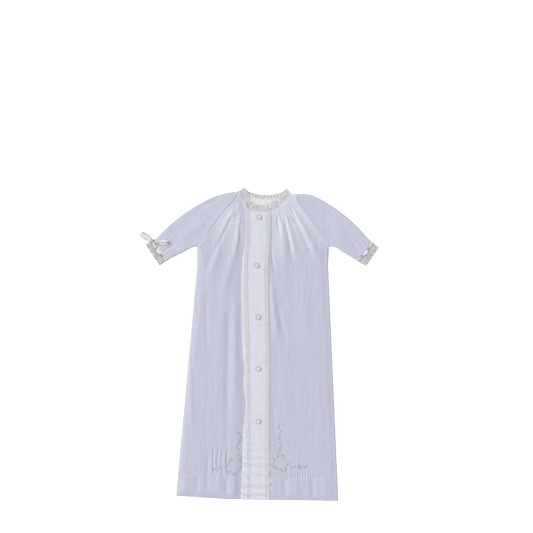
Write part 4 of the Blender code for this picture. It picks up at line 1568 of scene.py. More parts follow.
class Workshop:
    """Geometry Nodes trees that make what repeats."""

    thread_sides = 4

    def __init__(self) -> None:
        """Builds the trees."""
        self.lace = self._lace_tree()
        self.stitches = self._stitch_tree()
        self.scatter = self._scatter_tree()

    @staticmethod
    def _begun(name: str, **inputs: str) -> tuple[Graph, dict[str, Output]]:
        """A tree that takes geometry, other named inputs and a finish, and gives geometry."""
        geometry = {"Geometry": "Geometry"}
        return new_tree(name, "GeometryNodeTree", {**geometry, **inputs, "Finish": "Material"}, geometry)

    @staticmethod
    def _finished(graph: Graph, shape: Socket, finish: Socket) -> None:
        """Ends a tree in real, smooth, finished geometry.

        Args:
            graph: The tree.
            shape: The geometry so far.
            finish: The finish's socket.
        """
        real = graph.add("GeometryNodeRealizeInstances", {"Geometry": shape}).outputs[0]
        soft = graph.add("GeometryNodeSetShadeSmooth", {"Geometry": real}).outputs[0]
        done = graph.add("GeometryNodeSetMaterial", {"Geometry": soft, "Material": finish}).outputs[0]
        graph.add("NodeGroupOutput", {"Geometry": done})

    def _lace_tree(self) -> Tree:
        """Repeats a flat drawing of threads along a surface's UV map, and gives the threads their thickness.

        Returns:
            The tree.
        """
        sizes = {"Repeats": "Int", "Thread": "Float", "Sides": "Int"}
        graph, given = self._begun("lace_along_surface", Repeat="Object", **sizes)
        step = graph.maths("DIVIDE", 0.9998, given["Repeats"])
        points = {"Count": given["Repeats"], "Start Location": (0.0001, 0, 0), "Offset": graph.combined(step)}
        line = graph.add("GeometryNodeMeshLine", points, mode="OFFSET").outputs[0]
        repeat = graph.add("GeometryNodeObjectInfo", {"Object": given["Repeat"]}).outputs["Geometry"]
        each = {"Points": line, "Instance": repeat, "Scale": graph.combined(step, 1.0, 1.0)}
        laid = graph.add("GeometryNodeInstanceOnPoints", each).outputs[0]
        real = graph.add("GeometryNodeRealizeInstances", {"Geometry": laid}).outputs[0]
        place = graph.add("GeometryNodeInputPosition").outputs[0]
        parts = graph.add("ShaderNodeSeparateXYZ", {0: place}).outputs
        at, uv = graph.combined(parts[0], parts[1]), graph.named("UVMap", "FLOAT_VECTOR")
        found = []
        for kind in ("GeometryNodeInputPosition", "GeometryNodeInputNormal"):
            value = graph.add(kind).outputs[0]
            source = {"Mesh": given["Geometry"], "Value": value, "UV Map": uv, "Sample UV": at}
            sample = graph.add("GeometryNodeSampleUVSurface", source, data_type="FLOAT_VECTOR")
            found.append(sample.outputs[0])
        proud = graph.vector("SCALE", found[1], parts[2])
        target = {"Geometry": real, "Position": graph.vector("ADD", found[0], proud)}
        moved = graph.add("GeometryNodeSetPosition", target).outputs[0]
        curve = graph.add("GeometryNodeMeshToCurve", {"Mesh": moved}).outputs[0]
        circle = {"Resolution": given["Sides"], "Radius": 1.0}
        profile = graph.add("GeometryNodeCurvePrimitiveCircle", circle).outputs[0]
        scale = graph.maths("MULTIPLY", graph.named("thick"), given["Thread"])
        swept = {"Curve": curve, "Profile Curve": profile, "Scale": scale}
        self._finished(graph, graph.add("GeometryNodeCurveToMesh", swept).outputs[0], given["Finish"])
        return graph.tree

    def _stitch_tree(self) -> Tree:
        """Lays small stitches end to end along lines.

        Returns:
            The tree.
        """
        graph, given = self._begun("stitches_along_line", Pitch="Float", Length="Float", Thread="Float")
        curve = graph.add("GeometryNodeMeshToCurve", {"Mesh": given["Geometry"]}).outputs[0]
        evenly = {"Curve": curve, "Length": given["Pitch"]}
        points = graph.add("GeometryNodeCurveToPoints", evenly, mode="LENGTH")
        tangent = {"Vector": points.outputs["Tangent"]}
        rotation = graph.add("FunctionNodeAlignRotationToVector", tangent, axis="X").outputs[0]
        bead = graph.add("GeometryNodeMeshUVSphere", {"Segments": 5, "Rings": 4, "Radius": 1.0}).outputs[0]
        half = graph.maths("MULTIPLY", given["Length"], 0.5)
        scale = graph.combined(half, given["Thread"], given["Thread"])
        laid = {"Points": points.outputs["Points"], "Instance": bead, "Rotation": rotation, "Scale": scale}
        self._finished(graph, graph.add("GeometryNodeInstanceOnPoints", laid).outputs[0], given["Finish"])
        return graph.tree

    def _scatter_tree(self) -> Tree:
        """Sets a small sewn shape on each point, turned and sized by the points' attributes.

        Returns:
            The tree.
        """
        graph, given = self._begun("shapes_on_points", Shape="Object", Size="Float")
        shape = graph.add("GeometryNodeObjectInfo", {"Object": given["Shape"]}).outputs["Geometry"]
        turn = graph.combined(z=graph.named("turn"))
        rotation = graph.add("FunctionNodeEulerToRotation", {0: turn}).outputs[0]
        points = graph.add("GeometryNodeMeshToPoints", {"Mesh": given["Geometry"]}).outputs[0]
        scale = graph.maths("MULTIPLY", graph.named("size"), given["Size"])
        laid = {"Points": points, "Instance": shape, "Rotation": rotation, "Scale": scale}
        self._finished(graph, graph.add("GeometryNodeInstanceOnPoints", laid).outputs[0], given["Finish"])
        return graph.tree

    @staticmethod
    def grow(base: Piece, tree: Tree, values: dict[str, object]) -> Piece:
        """Runs a tree on an object and keeps the plain mesh that it makes.

        Args:
            base: The object that the tree starts from.
            tree: The tree.
            values: A value for each named input.

        Returns:
            The same object, with the made mesh.
        """
        modifier = base.modifiers.new("made", "NODES")
        modifier.node_group = tree
        for item in tree.interface.items_tree:
            if item.item_type == "SOCKET" and item.in_out == "INPUT" and item.name in values:
                modifier[item.identifier] = values[item.name]
        mesh = plain_mesh(base)
        base.modifiers.remove(modifier)
        old = base.data
        base.data = mesh
        mesh.name = base.name
        bpy.data.meshes.remove(old)
        return base

    def sew(
        self, name: str, lines: Sequence[Array], pitch: float, length: float, thread: float, finish: Material
    ) -> Piece:
        """Rows of stitches, settled on the gown.

        Args:
            name: The piece's name.
            lines: The rows' points, in garment millimetres.
            pitch, length: Millimetres from stitch to stitch, and of each stitch.
            thread: The thread's radius in millimetres.
            finish: The thread's material.

        Returns:
            One object with every stitch.
        """
        base = add_piece(name, np.concatenate(lines), NO_FACES, finish, edges=line_edges(lines))
        values = {"Pitch": pitch * MM, "Length": length * MM, "Thread": thread * MM, "Finish": finish}
        return settle(self.grow(base, self.stitches, values), "cotton")

    def make_lace(
        self, node: str, surface: Array, repeat: LaceRepeat, length: float, finish: Material
    ) -> Piece:
        """Lace that follows a surface, settled on the gown.

        Args:
            node: The node that it stands for.
            surface: Rows across the lace and columns along it, of points in garment millimetres.
            repeat: The drawn repeat.
            length: Millimetres along the lace.
            finish: The thread's material.

        Returns:
            The lace's threads as one object.
        """
        rows, columns = surface.shape[:2]
        corners = grid_faces(rows, columns, False, 1)
        faces = corners[..., 0] * columns + corners[..., 1]
        shares = np.stack([corners[..., 1] / (columns - 1), corners[..., 0] / (rows - 1)], axis=-1)
        base = add_piece(f"{node}_threads", surface.reshape(-1, 3), faces, finish, shares)
        drawn = repeat.drawn().strokes
        mesh = bpy.data.meshes.new(f"{node}_repeat")
        places = np.concatenate([stroke.points for stroke in drawn]) / (repeat.pitch, repeat.width)
        proud, thick = (
            np.concatenate([np.full(len(stroke.points), size * MM) for stroke, size in zip(drawn, sizes)])
            for sizes in ([stroke.proud for stroke in drawn], [stroke.radius for stroke in drawn])
        )
        flat = np.clip(np.column_stack([places, proud]), (0, 0.002, -1), (1, 0.998, 1))
        edges = line_edges([stroke.points for stroke in drawn])
        mesh.from_pydata(flat.tolist(), edges.tolist(), [])
        # painted shade: thicker lace threads are painted darker, and the thickest darker still
        deep = blend(thick / MM, 0.22, 0.3) + blend(thick / MM, 0.36, 0.40)
        mark(mesh, "thick", thick)
        mark(mesh, "deep", deep)
        flat_repeat = bpy.data.objects.new(f"{node}_repeat", mesh)
        repeats = max(1, round(length / repeat.pitch))
        values = {"Repeat": flat_repeat, "Repeats": repeats, "Thread": 1.0, "Sides": self.thread_sides}
        self.grow(base, self.lace, {**values, "Finish": finish})
        bpy.data.objects.remove(flat_repeat)
        return settle(base, "lace", node)


def strip_surface(first: Array, last: Array, rows: int, z: Array, bow: float = 0.0) -> Array:
    """A surface between two lines.

    Args:
        first, last: The lines at its first row and at its last.
        rows: Rows across.
        z: A height for each column, or for each row and column.
        bow: How far the middle row rises over the edges.

    Returns:
        Rows across and columns along.
    """
    v = even(rows)[:, None, None]
    flat = (1 - v) * first[None] + v * last[None]
    heights = np.broadcast_to(z, flat.shape[:2]) + bow * np.sin(np.pi * v[..., 0])
    return np.dstack([flat, heights])


@dataclass
class Placket:
    """The button band, folded double and sewn to the left front, with lace down each side."""

    lay: GownLay
    finishes: Finishes
    workshop: Workshop
    thickness: float = 0.7
    lace_above: float = 0.3
    lace_pitch: float = 6.2
    length: float = 535.0
    top: float = 533.5
    bottom: float = 1.6
    rows: int = 200
    band_rows: int = 300
    stitch_rows: tuple[tuple[str, float], ...] = (
        ("lace_right_in", 2.0), ("lace_left_in", -7.0), ("lace_right_in", 0.4), ("lace_left_in", -0.4)
    )

    def _face(self, x: Array, y: Array) -> Array:
        """The height of the band's face, with small creases across it that are deepest near the hem.

        Args:
            x, y: Places on the table.

        Returns:
            The height at each place.
        """
        slant = y + 0.22 * x
        creases = (0.24 + 0.9 * blend(y, 110, 60)) * np.sin(slant / 2.1 + 1.4 * np.sin(y / 13))
        wrinkles = creases * np.sin(slant / 11 + x / 13) + 0.12 * soft_waves(2 * x, y)
        free = self.lay.band_x("free_edge", y)
        lifted = 0.45 * blend(x - free, 5, 0) * (0.5 + 0.5 * np.sin(y / 26 + 1.0))
        dropped = 0.25 * blend(x - free, 1.0, 0)
        return self.lay.band_face - 0.15 + wrinkles + lifted - dropped

    def _grid(self, first: str, last: Optional[str], rows: int, columns: int) -> Array:
        """Rows down the band between two of its lines, with heights.

        Args:
            first: The band's line at the first column.
            last: The line at the last column, or None for the sewn edge.
            rows, columns: Spans down the band and across it.

        Returns:
            Rows and columns of points.
        """
        y = np.linspace(self.top, self.bottom, rows)
        left = self.lay.band_x(first, y)
        right = self.lay.band_seam(y) + 1.2 if last is None else self.lay.band_x(last, y)
        share = even(columns + 1)[None, :]
        x = left[:, None] * (1 - share) + right[:, None] * share
        grid = np.dstack([x, np.tile(y[:, None], columns + 1)])
        grid[0, :, 1] = self.lay.neck_y(grid[0, :, 0]) + 0.8
        grid[-1, :, 1] = self.lay.hem_y(grid[-1, :, 0])
        return np.dstack([grid, self._face(grid[..., 0], grid[..., 1])])

    def build(self) -> list[Piece]:
        """The band, both laces and the machine stitching.

        Returns:
            The band, then the pieces on it.
        """
        outer = self._grid("free_edge", None, self.band_rows, 36)
        band = cloth_piece("placket_cloth", outer, self.thickness, self.finishes.batiste, layers=1.0)
        settle(band, "cotton", "placket")
        laces = []
        for side in Side:
            surface = self._grid(f"lace_{side.value}_in", f"lace_{side.value}_out", self.rows, 6)
            surface[..., 2] += self.lace_above
            surface = surface.transpose(1, 0, 2)
            if side is Side.RIGHT:
                surface = surface[:, ::-1]
            middle = surface[:, self.rows // 2]
            width = float(np.linalg.norm(middle[-1] - middle[0]))
            repeat = LaceRepeat(LacePattern.INSERTION, self.lace_pitch, width)
            node, finish = f"placket_lace_{side.value}", self.finishes.lace
            laces.append(self.workshop.make_lace(node, surface, repeat, self.length, finish))
        stitching = self._stitching()
        return [band, *laces, stitching]

    def _stitching(self) -> Piece:
        """Rows of fine stitches down both lace edges and inside them.

        Returns:
            The stitches.
        """
        lines = []
        y = np.linspace(531, 3, 420)
        for column, inset in self.stitch_rows:
            x = self.lay.band_x(column, y) + inset
            lines.append(np.column_stack([x, y, self._face(x, y) + 0.05]))
        return self.workshop.sew("placket_stitching", lines, 2.3, 1.7, 0.16, self.finishes.cotton_thread)


@dataclass
class Neckline:
    """The neck lace, folded at both shoulders, and the binding inside the back neck."""

    lay: GownLay
    finishes: Finishes
    workshop: Workshop
    split: float = 0.27
    pitch: float = 6.5
    eased_pitch: float = 5.7
    droop: float = 1.5

    def _lace(
        self, node: str, rows: Sequence[Strip], start: float, stop: float, z: tuple[float, ...]
    ) -> Piece:
        """A stretch of lace between two shares of its length.

        Args:
            node: The node that it stands for.
            rows: The lace's sections.
            start, stop: Where it starts and stops, as shares.
            z: Heights at even shares of its length.

        Returns:
            The lace.
        """
        places = np.linspace(start, stop, 80)
        seam, free = edge_line(rows, "seam"), edge_line(rows, "free")
        seam, free = along(seam, places), along(free, places)
        seam, free = seam - (free - seam) * 0.06, free + (free - seam) * 0.08
        heights = np.interp(places, even(len(z)), z)
        at_back = rows is BACK_NECK
        fall = 0.0 if at_back else self.droop * np.linspace(1, 0, 8)[:, None] * np.sin(np.pi * places)
        surface = strip_surface(free, seam, 8, heights - fall, 0.15)[::-1]
        width = float(np.linalg.norm(free - seam, axis=1).mean())
        length = float(lengths((free + seam) / 2)[-1])
        pitch = self.eased_pitch if at_back else self.pitch
        repeat = LaceRepeat(LacePattern.EDGING, pitch, width, net_thread=0.17)
        # painted light: the back of the neck lace takes the shaded copy of the thread, the front the lighter
        # one
        finish = self.finishes.shaded_back_lace if at_back else self.finishes.neck_lace
        return self.workshop.make_lace(node, surface[:, ::-1], repeat, length, finish)

    def build(self) -> list[Piece]:
        """The three laces and the binding.

        Returns:
            The laces, then the binding.
        """
        laces = [self._lace(*lace) for lace in (
            ("neck_lace_front_right", FRONT_NECK, 0.0, self.split, (1.9, 2.4, 2.9, 3.4, 3.8, 3.95, 3.95)),
            ("neck_lace_front_left", FRONT_NECK, self.split, 1.0,
             (4.05, 4.05, 4.05, 4.05, 3.95, 3.6, 2.9, 2.0)),
            ("neck_lace_back", BACK_NECK, 0.0, 1.0, (2.0, 0.9, 0.6, 0.6, 0.6, 0.6, 0.6, 0.9, 2.0)),
        )]
        binding = self._binding()
        return [*laces, binding]

    def _binding(self) -> Piece:
        """The narrow double band inside the back neck.

        Returns:
            The binding.
        """
        rows, columns, height = 14, 90, 1.8
        places = np.linspace(0.03, 0.97, columns)
        seam = along(edge_line(BACK_NECK, "seam"), places)
        free = along(edge_line(BACK_NECK, "free"), places)
        share = np.linspace(0.1, -1.3, rows)[:, None, None]
        flat = seam[None] * (1 - share) + free[None] * share
        ripple = 0.10 * np.sin(np.linspace(0, 55, columns))[None, :]
        ripple = ripple * np.sin(np.linspace(0, np.pi, rows))[:, None]
        outer = np.dstack([flat, np.full(flat.shape[:2], height) + ripple])
        piece = cloth_piece("neck_binding_back_cloth", outer, 0.5, self.finishes.binding, layers=0.85)
        return settle(piece, "cotton", "neck_binding_back")


@dataclass
class Cuffs:
    """A lace ring on each sleeve: beading threaded with ribbon, then a scalloped edging."""

    lay: GownLay
    sleeves: Sleeves
    finishes: Finishes
    workshop: Workshop
    face_lift: float = 0.7
    edge_drop: float = 0.5
    beading: tuple[float, float] = (0.02, 0.28)
    ribbon_bow: float = 0.12
    passes: int = 5
    first_pass: float = 1.29
    over: int = 60
    under: int = 44
    rows: int = 12
    underside: float = 0.7
    lace_pitch: float = 5.9

    def _surface(
        self, side: Side, low: float, high: float, rows: int, proud: float, straighter: float = 0.0
    ) -> Array:
        """A ring round the cuff between two shares of its width: rows towards the hand, columns all round.

        Args:
            side: Which cuff.
            low, high: Where it starts in the width and where it ends, as shares.
            rows: Spans in the width.
            proud: How far it stands off the lace.
            straighter: How much further towards the hand its ends lie.

        Returns:
            Rows towards the hand, columns all round.
        """
        v = across_places(self.over)
        inner = self.sleeves.cuff_line(side, -0.3, v)
        top, under = (np.array(point) for point in self.lay.cut(side).cuff_end)
        outer = top + (under - top) * v[:, None]
        u = np.linspace(low, high, rows)[:, None, None] + straighter * np.abs(2 * v - 1)[:, None] ** 1.6
        grid = (1 - u) * inner + u * outer
        lift = np.broadcast_to(self.face_lift - self.edge_drop * u[..., 0], grid.shape[:2])
        beneath = np.array(self.underside)
        ring = tube_ring(grid, lift, self.lay.front_face, -proud, self.over, self.under, beneath)
        return np.concatenate([ring, ring[:, :1]], axis=1)

    def build(self, side: Side) -> list[Piece]:
        """One cuff's lace and its ribbon.

        Args:
            side: Which cuff.

        Returns:
            The lace, then the ribbon.
        """
        surface = self._surface(side, 0.0, 1.0, self.rows, 0.0)
        if side is Side.LEFT:
            surface = surface[:, ::-1]
        middle = surface[:, self.over // 2]
        width = float(np.linalg.norm(middle[-1] - middle[0]))
        length = float(lengths(surface[self.rows // 2])[-1])
        repeat = LaceRepeat(LacePattern.BEADING, self.lace_pitch, width, net_thread=0.16)
        finish = self.finishes.cuff_lace
        lace = self.workshop.make_lace(f"cuff_lace_{side.value}", surface, repeat, length, finish)
        return [lace, self._ribbon(side)]

    def _ribbon(self, side: Side) -> Piece:
        """Ribbon that runs over and under the bars of the beading, all round.

        Args:
            side: Which cuff.

        Returns:
            The ribbon.
        """
        over = self._surface(side, *self.beading, 5, 0.5, self.ribbon_bow)
        under = self._surface(side, *self.beading, 5, -0.4, self.ribbon_bow)
        length = lengths(over[2]) / lengths(over[2])[-1]
        over_bar = blend(np.cos(2 * np.pi * (length * self.passes - self.first_pass)), -0.6, -0.1)
        share = over_bar[None, :, None]
        middle = (over * share + under * (1 - share))[:, :-1]
        normal = unit((over - under)[:, :-1])
        # painted highlight on one stretch over the bars; painted shade on the other stretches, strongest
        # where the ribbon passes under the bars
        shine = bell(length - self.first_pass / self.passes, 0.055)
        painted_shade_and_highlight = np.clip(0.98 - over_bar * (0.2 + 0.78 * shine), 0, 1)[:-1]
        faces, node = (middle + 0.1 * normal, middle - 0.1 * normal), f"cuff_ribbon_{side.value}"
        piece = cloth_piece(f"{node}_satin", *faces, self.finishes.satin, closed=True, layers=painted_shade_and_highlight)
        mark_lean(piece)
        return settle(piece, "satin", node)


@dataclass
class RibbonBow:
    """A bow of narrow satin ribbon tied at the right cuff."""

    finishes: Finishes
    ground: Ground
    knot: Point = (-192.6, 476.0)
    knot_height: float = 6.2
    width: float = 5.0
    thickness: float = 0.22
    clearance: float = 0.4
    # painted shade: a grey base for each loop, end and the knot, standing in for the shade on white ribbon
    painted_shade_by_part: tuple[float, ...] = (0.84, 0.55, 0.5, 0.5, 0.35)

    def _ribbon(self, x: Array, y: Array, tilt: Array, rise: Array) -> tuple[Array, Array]:
        """Both faces of a ribbon that lies on whatever is under it.

        Args:
            x, y: Where its middle runs.
            tilt: How far it leans over from standing on edge, at each point, in radians.
            rise: 1 where it is held at the knot, and 0 where it lies free.

        Returns:
            Outer and inner points, rows along the ribbon and columns across.
        """
        under = [self.ground.height(place, 2.2) for place in zip(x, y)]
        highest = [max(under[max(0, k - 4): k + 5]) for k in range(len(under))]
        free = np.array(highest) + self.clearance + np.abs(np.cos(tilt)) * self.width / 2
        path = np.stack([x, y, free * (1 - rise) + self.knot_height * rise], axis=1)
        way = unit(np.gradient(path, axis=0))
        flat = unit(np.stack([-way[:, 1], way[:, 0], np.zeros(len(way))], axis=1))
        up = np.cross(way, flat)
        up *= np.sign(up[:, 2:])
        across = np.cos(tilt)[:, None] * up + np.sin(tilt)[:, None] * flat
        face = np.cross(way, across)
        place = np.linspace(-0.5, 0.5, 7)[None, :, None] * self.width
        cupped = 0.12 * np.cos(np.linspace(-1, 1, 7) * np.pi / 2)[None, :, None]
        middle = path[:, None] + across[:, None] * place + face[:, None] * cupped
        return middle + face[:, None] * self.thickness / 2, middle - face[:, None] * self.thickness / 2

    def _loop(
        self, angle: float, length: float, spread: float, upper: float, lower: float
    ) -> tuple[Array, Array]:
        """A loop out from the knot and back.

        Args:
            angle: Its direction on the table, in degrees.
            length: Its length.
            spread: How far its two stretches lie apart.
            upper, lower: How far the stretches going out and coming back lean over, in radians.

        Returns:
            Its outer and inner points.
        """
        t = even(61)
        out = length * np.sin(np.pi * t) ** 0.8
        side = -spread / 2 * np.sin(2 * np.pi * t) - 0.7 * np.cos(np.pi * t)
        x, y = rotated(out, side, np.radians(angle))
        x, y = x + self.knot[0], y + self.knot[1]
        held = np.minimum(t, 1 - t)
        tilt = upper + (lower - upper) * blend(t, 0.4, 0.6)
        tilt = tilt * blend(held, 0, 0.10) * (1 - 0.8 * bell(t - 0.5, 0.06)) + 0.2
        return self._ribbon(x, y, tilt, blend(held, 0.14, 0))

    def _end(self, angle: float, length: float, lean: float) -> tuple[Array, Array]:
        """A loose end.

        Args:
            angle: Where it points, in degrees.
            length: How long it is.
            lean: How far it leans, in radians.

        Returns:
            Its outer and inner points.
        """
        t = even(22)
        turn = np.radians(angle + 22 * t)
        x, y = self.knot[0] + length * t * np.cos(turn), self.knot[1] + length * t * np.sin(turn)
        tilt = lean * blend(t, 0.05, 0.4) + 0.2
        return self._ribbon(x, y, tilt, blend(t, 0.4, 0))

    def _knot(self) -> tuple[Array, Array]:
        """The wrap of ribbon round the middle.

        Returns:
            Its outer and inner points.
        """
        t = np.linspace(0, 2 * np.pi, 41)
        rows = []
        for place in np.linspace(-1, 1, 9):
            bulge = 1 - 0.28 * place**2
            x, y = 2.1 * bulge * np.cos(t), 1.7 * place + 0.25 * np.sin(2 * t)
            rows.append(np.stack([x, y, 1.55 * bulge * np.sin(t)], axis=1))
        ring = np.array(rows).transpose(1, 0, 2)
        x, y = rotated(ring[..., 0], ring[..., 1], np.radians(55))
        outer = np.stack([x + self.knot[0], y + self.knot[1], ring[..., 2] + self.knot_height], axis=2)
        centre = np.array([*self.knot, self.knot_height])
        return outer, centre + (outer - centre) * 0.86

    def build(self) -> Piece:
        """Both loops, both ends and the knot, as one piece.

        Returns:
            The bow.
        """
        stretches = [
            self._loop(144, 28.5, 6.6, 1.2, 1.2), self._loop(1, 26.0, 4.4, 0.95, 0.95),
            self._end(-34, 12, 1.2), self._end(-86, 10, 1.2), self._knot(),
        ]
        pieces = []
        for number, (outer, inner) in enumerate(stretches):
            run, across = even(outer.shape[0])[:, None], np.linspace(-1, 1, outer.shape[1])
            # painted highlights on two stretches of each piece; painted shade at the loops' turns, along the
            # ribbon's edges and near the knot
            painted_highlight = (bell(run - 0.2, 0.08) + bell(run - 0.76, 0.05)) * (1 - across**2)
            tip = 0.3 * bell(run - 0.5, 0.09) * (number < 2)
            held = 0.2 * blend(np.minimum(run, 1 - run), 0.16, 0.04)
            painted_shade_and_highlight = self.painted_shade_by_part[number] + tip + 0.25 * np.abs(across) ** 3 + held - 0.5 * painted_highlight
            pieces.append(cloth_piece(f"bow_part_{number}", outer, inner, self.finishes.satin, layers=painted_shade_and_highlight))
        with bpy.context.temp_override(active_object=pieces[0], selected_editable_objects=pieces):
            bpy.ops.object.join()
        pieces[0].name = pieces[0].data.name = "cuff_bow_right_satin"
        mark_lean(pieces[0])
        return settle(pieces[0], "satin", "cuff_bow_right")


@dataclass
class Buttons:
    """Five small four-hole buttons, each sewn on with crossed thread."""

    finishes: Finishes
    base: float = 3.62
    holes: float = 0.52
    spread: float = 1.15
    turn_step: float = 0.35
    sides: int = 48
    spots: tuple[Point, ...] = ((1.5, 523.5), (-3.0, 434.0), (0.0, 338.5), (0.0, 242.5), (0.0, 145.5))
    profile: tuple[Point, ...] = (
        (0.0, 0.12), (2.4, 0.0), (3.5, 0.18), (4.1, 0.5), (4.4, 0.9), (4.35, 1.2), (4.05, 1.42), (3.7, 1.46),
        (3.4, 1.36), (3.1, 1.1), (2.7, 0.95), (1.8, 0.9), (0.0, 0.88),
    )

    def _turned(self) -> Piece:
        """The turned button at the garment's zero, holes drilled.

        Returns:
            The blank.
        """
        ring, sides = smooth(self.profile, 3)[1:-1], self.sides
        x, y = np.outer(ring[:, 0], np.cos(angles(sides))), np.outer(ring[:, 0], np.sin(angles(sides)))
        points = np.stack([x, y, np.tile(ring[:, 1:], sides)], axis=2).reshape(-1, 3)
        corners = grid_faces(len(ring), sides, True, 1)
        faces = (corners[..., 0] * sides + corners[..., 1] % sides)[:, ::-1].tolist()
        faces += [list(range(sides))[::-1], list(range((len(ring) - 1) * sides, len(ring) * sides))]
        mesh = bpy.data.meshes.new("turned")
        mesh.from_pydata((points * MM).tolist(), [], faces)
        mesh.materials.append(self.finishes.pearl)
        blank = linked("turned", mesh)
        drills = []
        for x, y in ((1, 1), (1, -1), (-1, 1), (-1, -1)):
            drill = self._drill(x * self.spread, y * self.spread)
            cut = blank.modifiers.new("hole", "BOOLEAN")
            cut.operation, cut.object = "DIFFERENCE", drill
            drills.append(drill)
        drilled = plain_mesh(blank)
        drilled.shade_smooth()
        drilled.set_sharp_from_angle(angle=0.7)
        for old in drills:
            bpy.data.objects.remove(old)
        blank.modifiers.clear()
        blank.data = drilled
        return blank

    def _drill(self, x: float, y: float) -> Piece:
        """A round cutter.

        Args:
            x, y: Its middle on the table.

        Returns:
            The cutter.
        """
        sides = 16
        angle = angles(sides)
        ring = np.stack([x + self.holes * np.cos(angle), y + self.holes * np.sin(angle)], axis=1)
        points = np.vstack([np.column_stack([ring, np.full(sides, z)]) for z in (-1.0, 3.0)]) * MM
        faces = [[k, (k + 1) % sides, sides + (k + 1) % sides, sides + k] for k in range(sides)]
        faces += [list(range(sides))[::-1], list(range(sides, 2 * sides))]
        mesh = bpy.data.meshes.new("drill")
        mesh.from_pydata(points.tolist(), [], faces)
        return linked("drill", mesh)

    def build(self, workshop: Workshop) -> list[Piece]:
        """Every button and the thread that holds it.

        Args:
            workshop: The trees.

        Returns:
            The buttons, then their thread.
        """
        blank = self._turned()
        made = []
        for number, (x, y) in enumerate(self.spots, start=1):
            mesh = blank.data.copy()
            mesh.name = f"button_{number}_pearl"
            points = np.array([vertex.co for vertex in mesh.vertices])
            across, up = rotated(points[:, 0], points[:, 1], self.turn_step * number)
            place = in_metres(np.array([x, y, self.base]))
            moved = np.stack([across, up, points[:, 2]], axis=1) + place
            mesh.vertices.foreach_set("co", moved.astype(np.float32).ravel())
            reach = np.hypot(points[:, 0], points[:, 1]) / MM
            # painted shade: marks the band round the rim that the pearl material paints darker
            mark(mesh, "rim", blend(reach, 3.3, 3.6) * blend(reach, 4.6, 4.4))
            made.append(settle(linked(mesh.name, mesh), "pearl", f"button_{number}"))
        bpy.data.objects.remove(blank)
        made.append(self._thread(workshop))
        return made

    def _thread(self, workshop: Workshop) -> Piece:
        """Crossed stitches through the holes of every button.

        Args:
            workshop: The trees.

        Returns:
            The thread.
        """
        lines = []
        for number, (x, y) in enumerate(self.spots, start=1):
            for quarter in (0.25, 0.75):
                turn = self.turn_step * number + quarter * np.pi
                reach = np.array([np.cos(turn), np.sin(turn)]) * self.spread * 1.41
                for shift in (-0.16, 0.16):
                    side = np.array([-np.sin(turn), np.cos(turn)]) * shift
                    t = np.linspace(-1, 1, 9)
                    z = self.base + 1.12 - 0.6 * np.abs(t) ** 3 + 0.12 * (quarter > 0.5)
                    lines.append(np.column_stack([x + reach[0] * t + side[0], y + reach[1] * t + side[1], z]))
        return workshop.sew("button_thread", lines, 0.42, 0.8, 0.17, self.finishes.cotton_thread)


class Sprig(NamedTuple):
    """Something sewn at a point: where, turned how far and how large."""

    x: float
    y: float
    turn: float
    size: float


@dataclass
class Vine:
    """An embroidered vine: a faint stem, buds at shares of its length and tufts of leaves along it."""

    stem: tuple[Point, ...]
    buds: tuple[float, ...]
    seed: int
    tuft_step: float = 4.8
    clear_of_bud: float = 3.0

    def line(self) -> Array:
        """The stem's points."""
        return along(smooth(self.stem), even(60))

    def _beside_stem(self, share: float, turned: float, away: float, size: float) -> Sprig:
        """A sprig that grows out of the stem.

        Args:
            share: Where on the stem's length it grows.
            turned: How far it turns from the stem's direction, in radians.
            away: How far out it sits.
            size: Its size.

        Returns:
            The sprig.
        """
        line = self.line()
        shares = even(len(line))
        way = np.gradient(line, axis=0)
        x, y = (float(np.interp(share, shares, axis)) for axis in line.T)
        heading = float(np.interp(share, shares, np.unwrap(np.arctan2(way[:, 1], way[:, 0]))))
        turn = heading + turned
        return Sprig(x + away * np.cos(turn), y + away * np.sin(turn), turn, size)

    def sprigs(self) -> tuple[list[Sprig], list[Sprig]]:
        """The buds and the leaves of the vine.

        Returns:
            The buds, then the leaves.
        """
        draw = np.random.default_rng(self.seed)
        length = lengths(self.line())[-1]
        buds, leaves = [], []
        for number, share in enumerate(self.buds):
            side = 1 if number % 2 else -1
            buds.append(self._beside_stem(share, side * draw.uniform(0.5, 1.3), 1.4, draw.uniform(1.2, 1.5)))
            for turned in (side * 2.4, -side * 1.0):
                reach, size = draw.uniform(2.2, 3.2), draw.uniform(0.8, 1.1)
                leaves.append(self._beside_stem(share, turned, reach, size))
        for place in np.arange(0.5, length, self.tuft_step):
            share = (place + draw.uniform(-1.5, 1.5)) / length
            count = draw.integers(1, 4)
            turns = draw.uniform(-1.7, 1.7, count)
            sizes = draw.uniform(0.75, 1.25, count)
            reaches = draw.uniform(1.2, 3.0, count)
            if any(abs(share - bud) * length < self.clear_of_bud for bud in self.buds):
                continue
            for turned, size, reach in zip(turns, sizes, reaches):
                leaves.append(self._beside_stem(share, float(turned), float(reach), float(size)))
        return buds, leaves


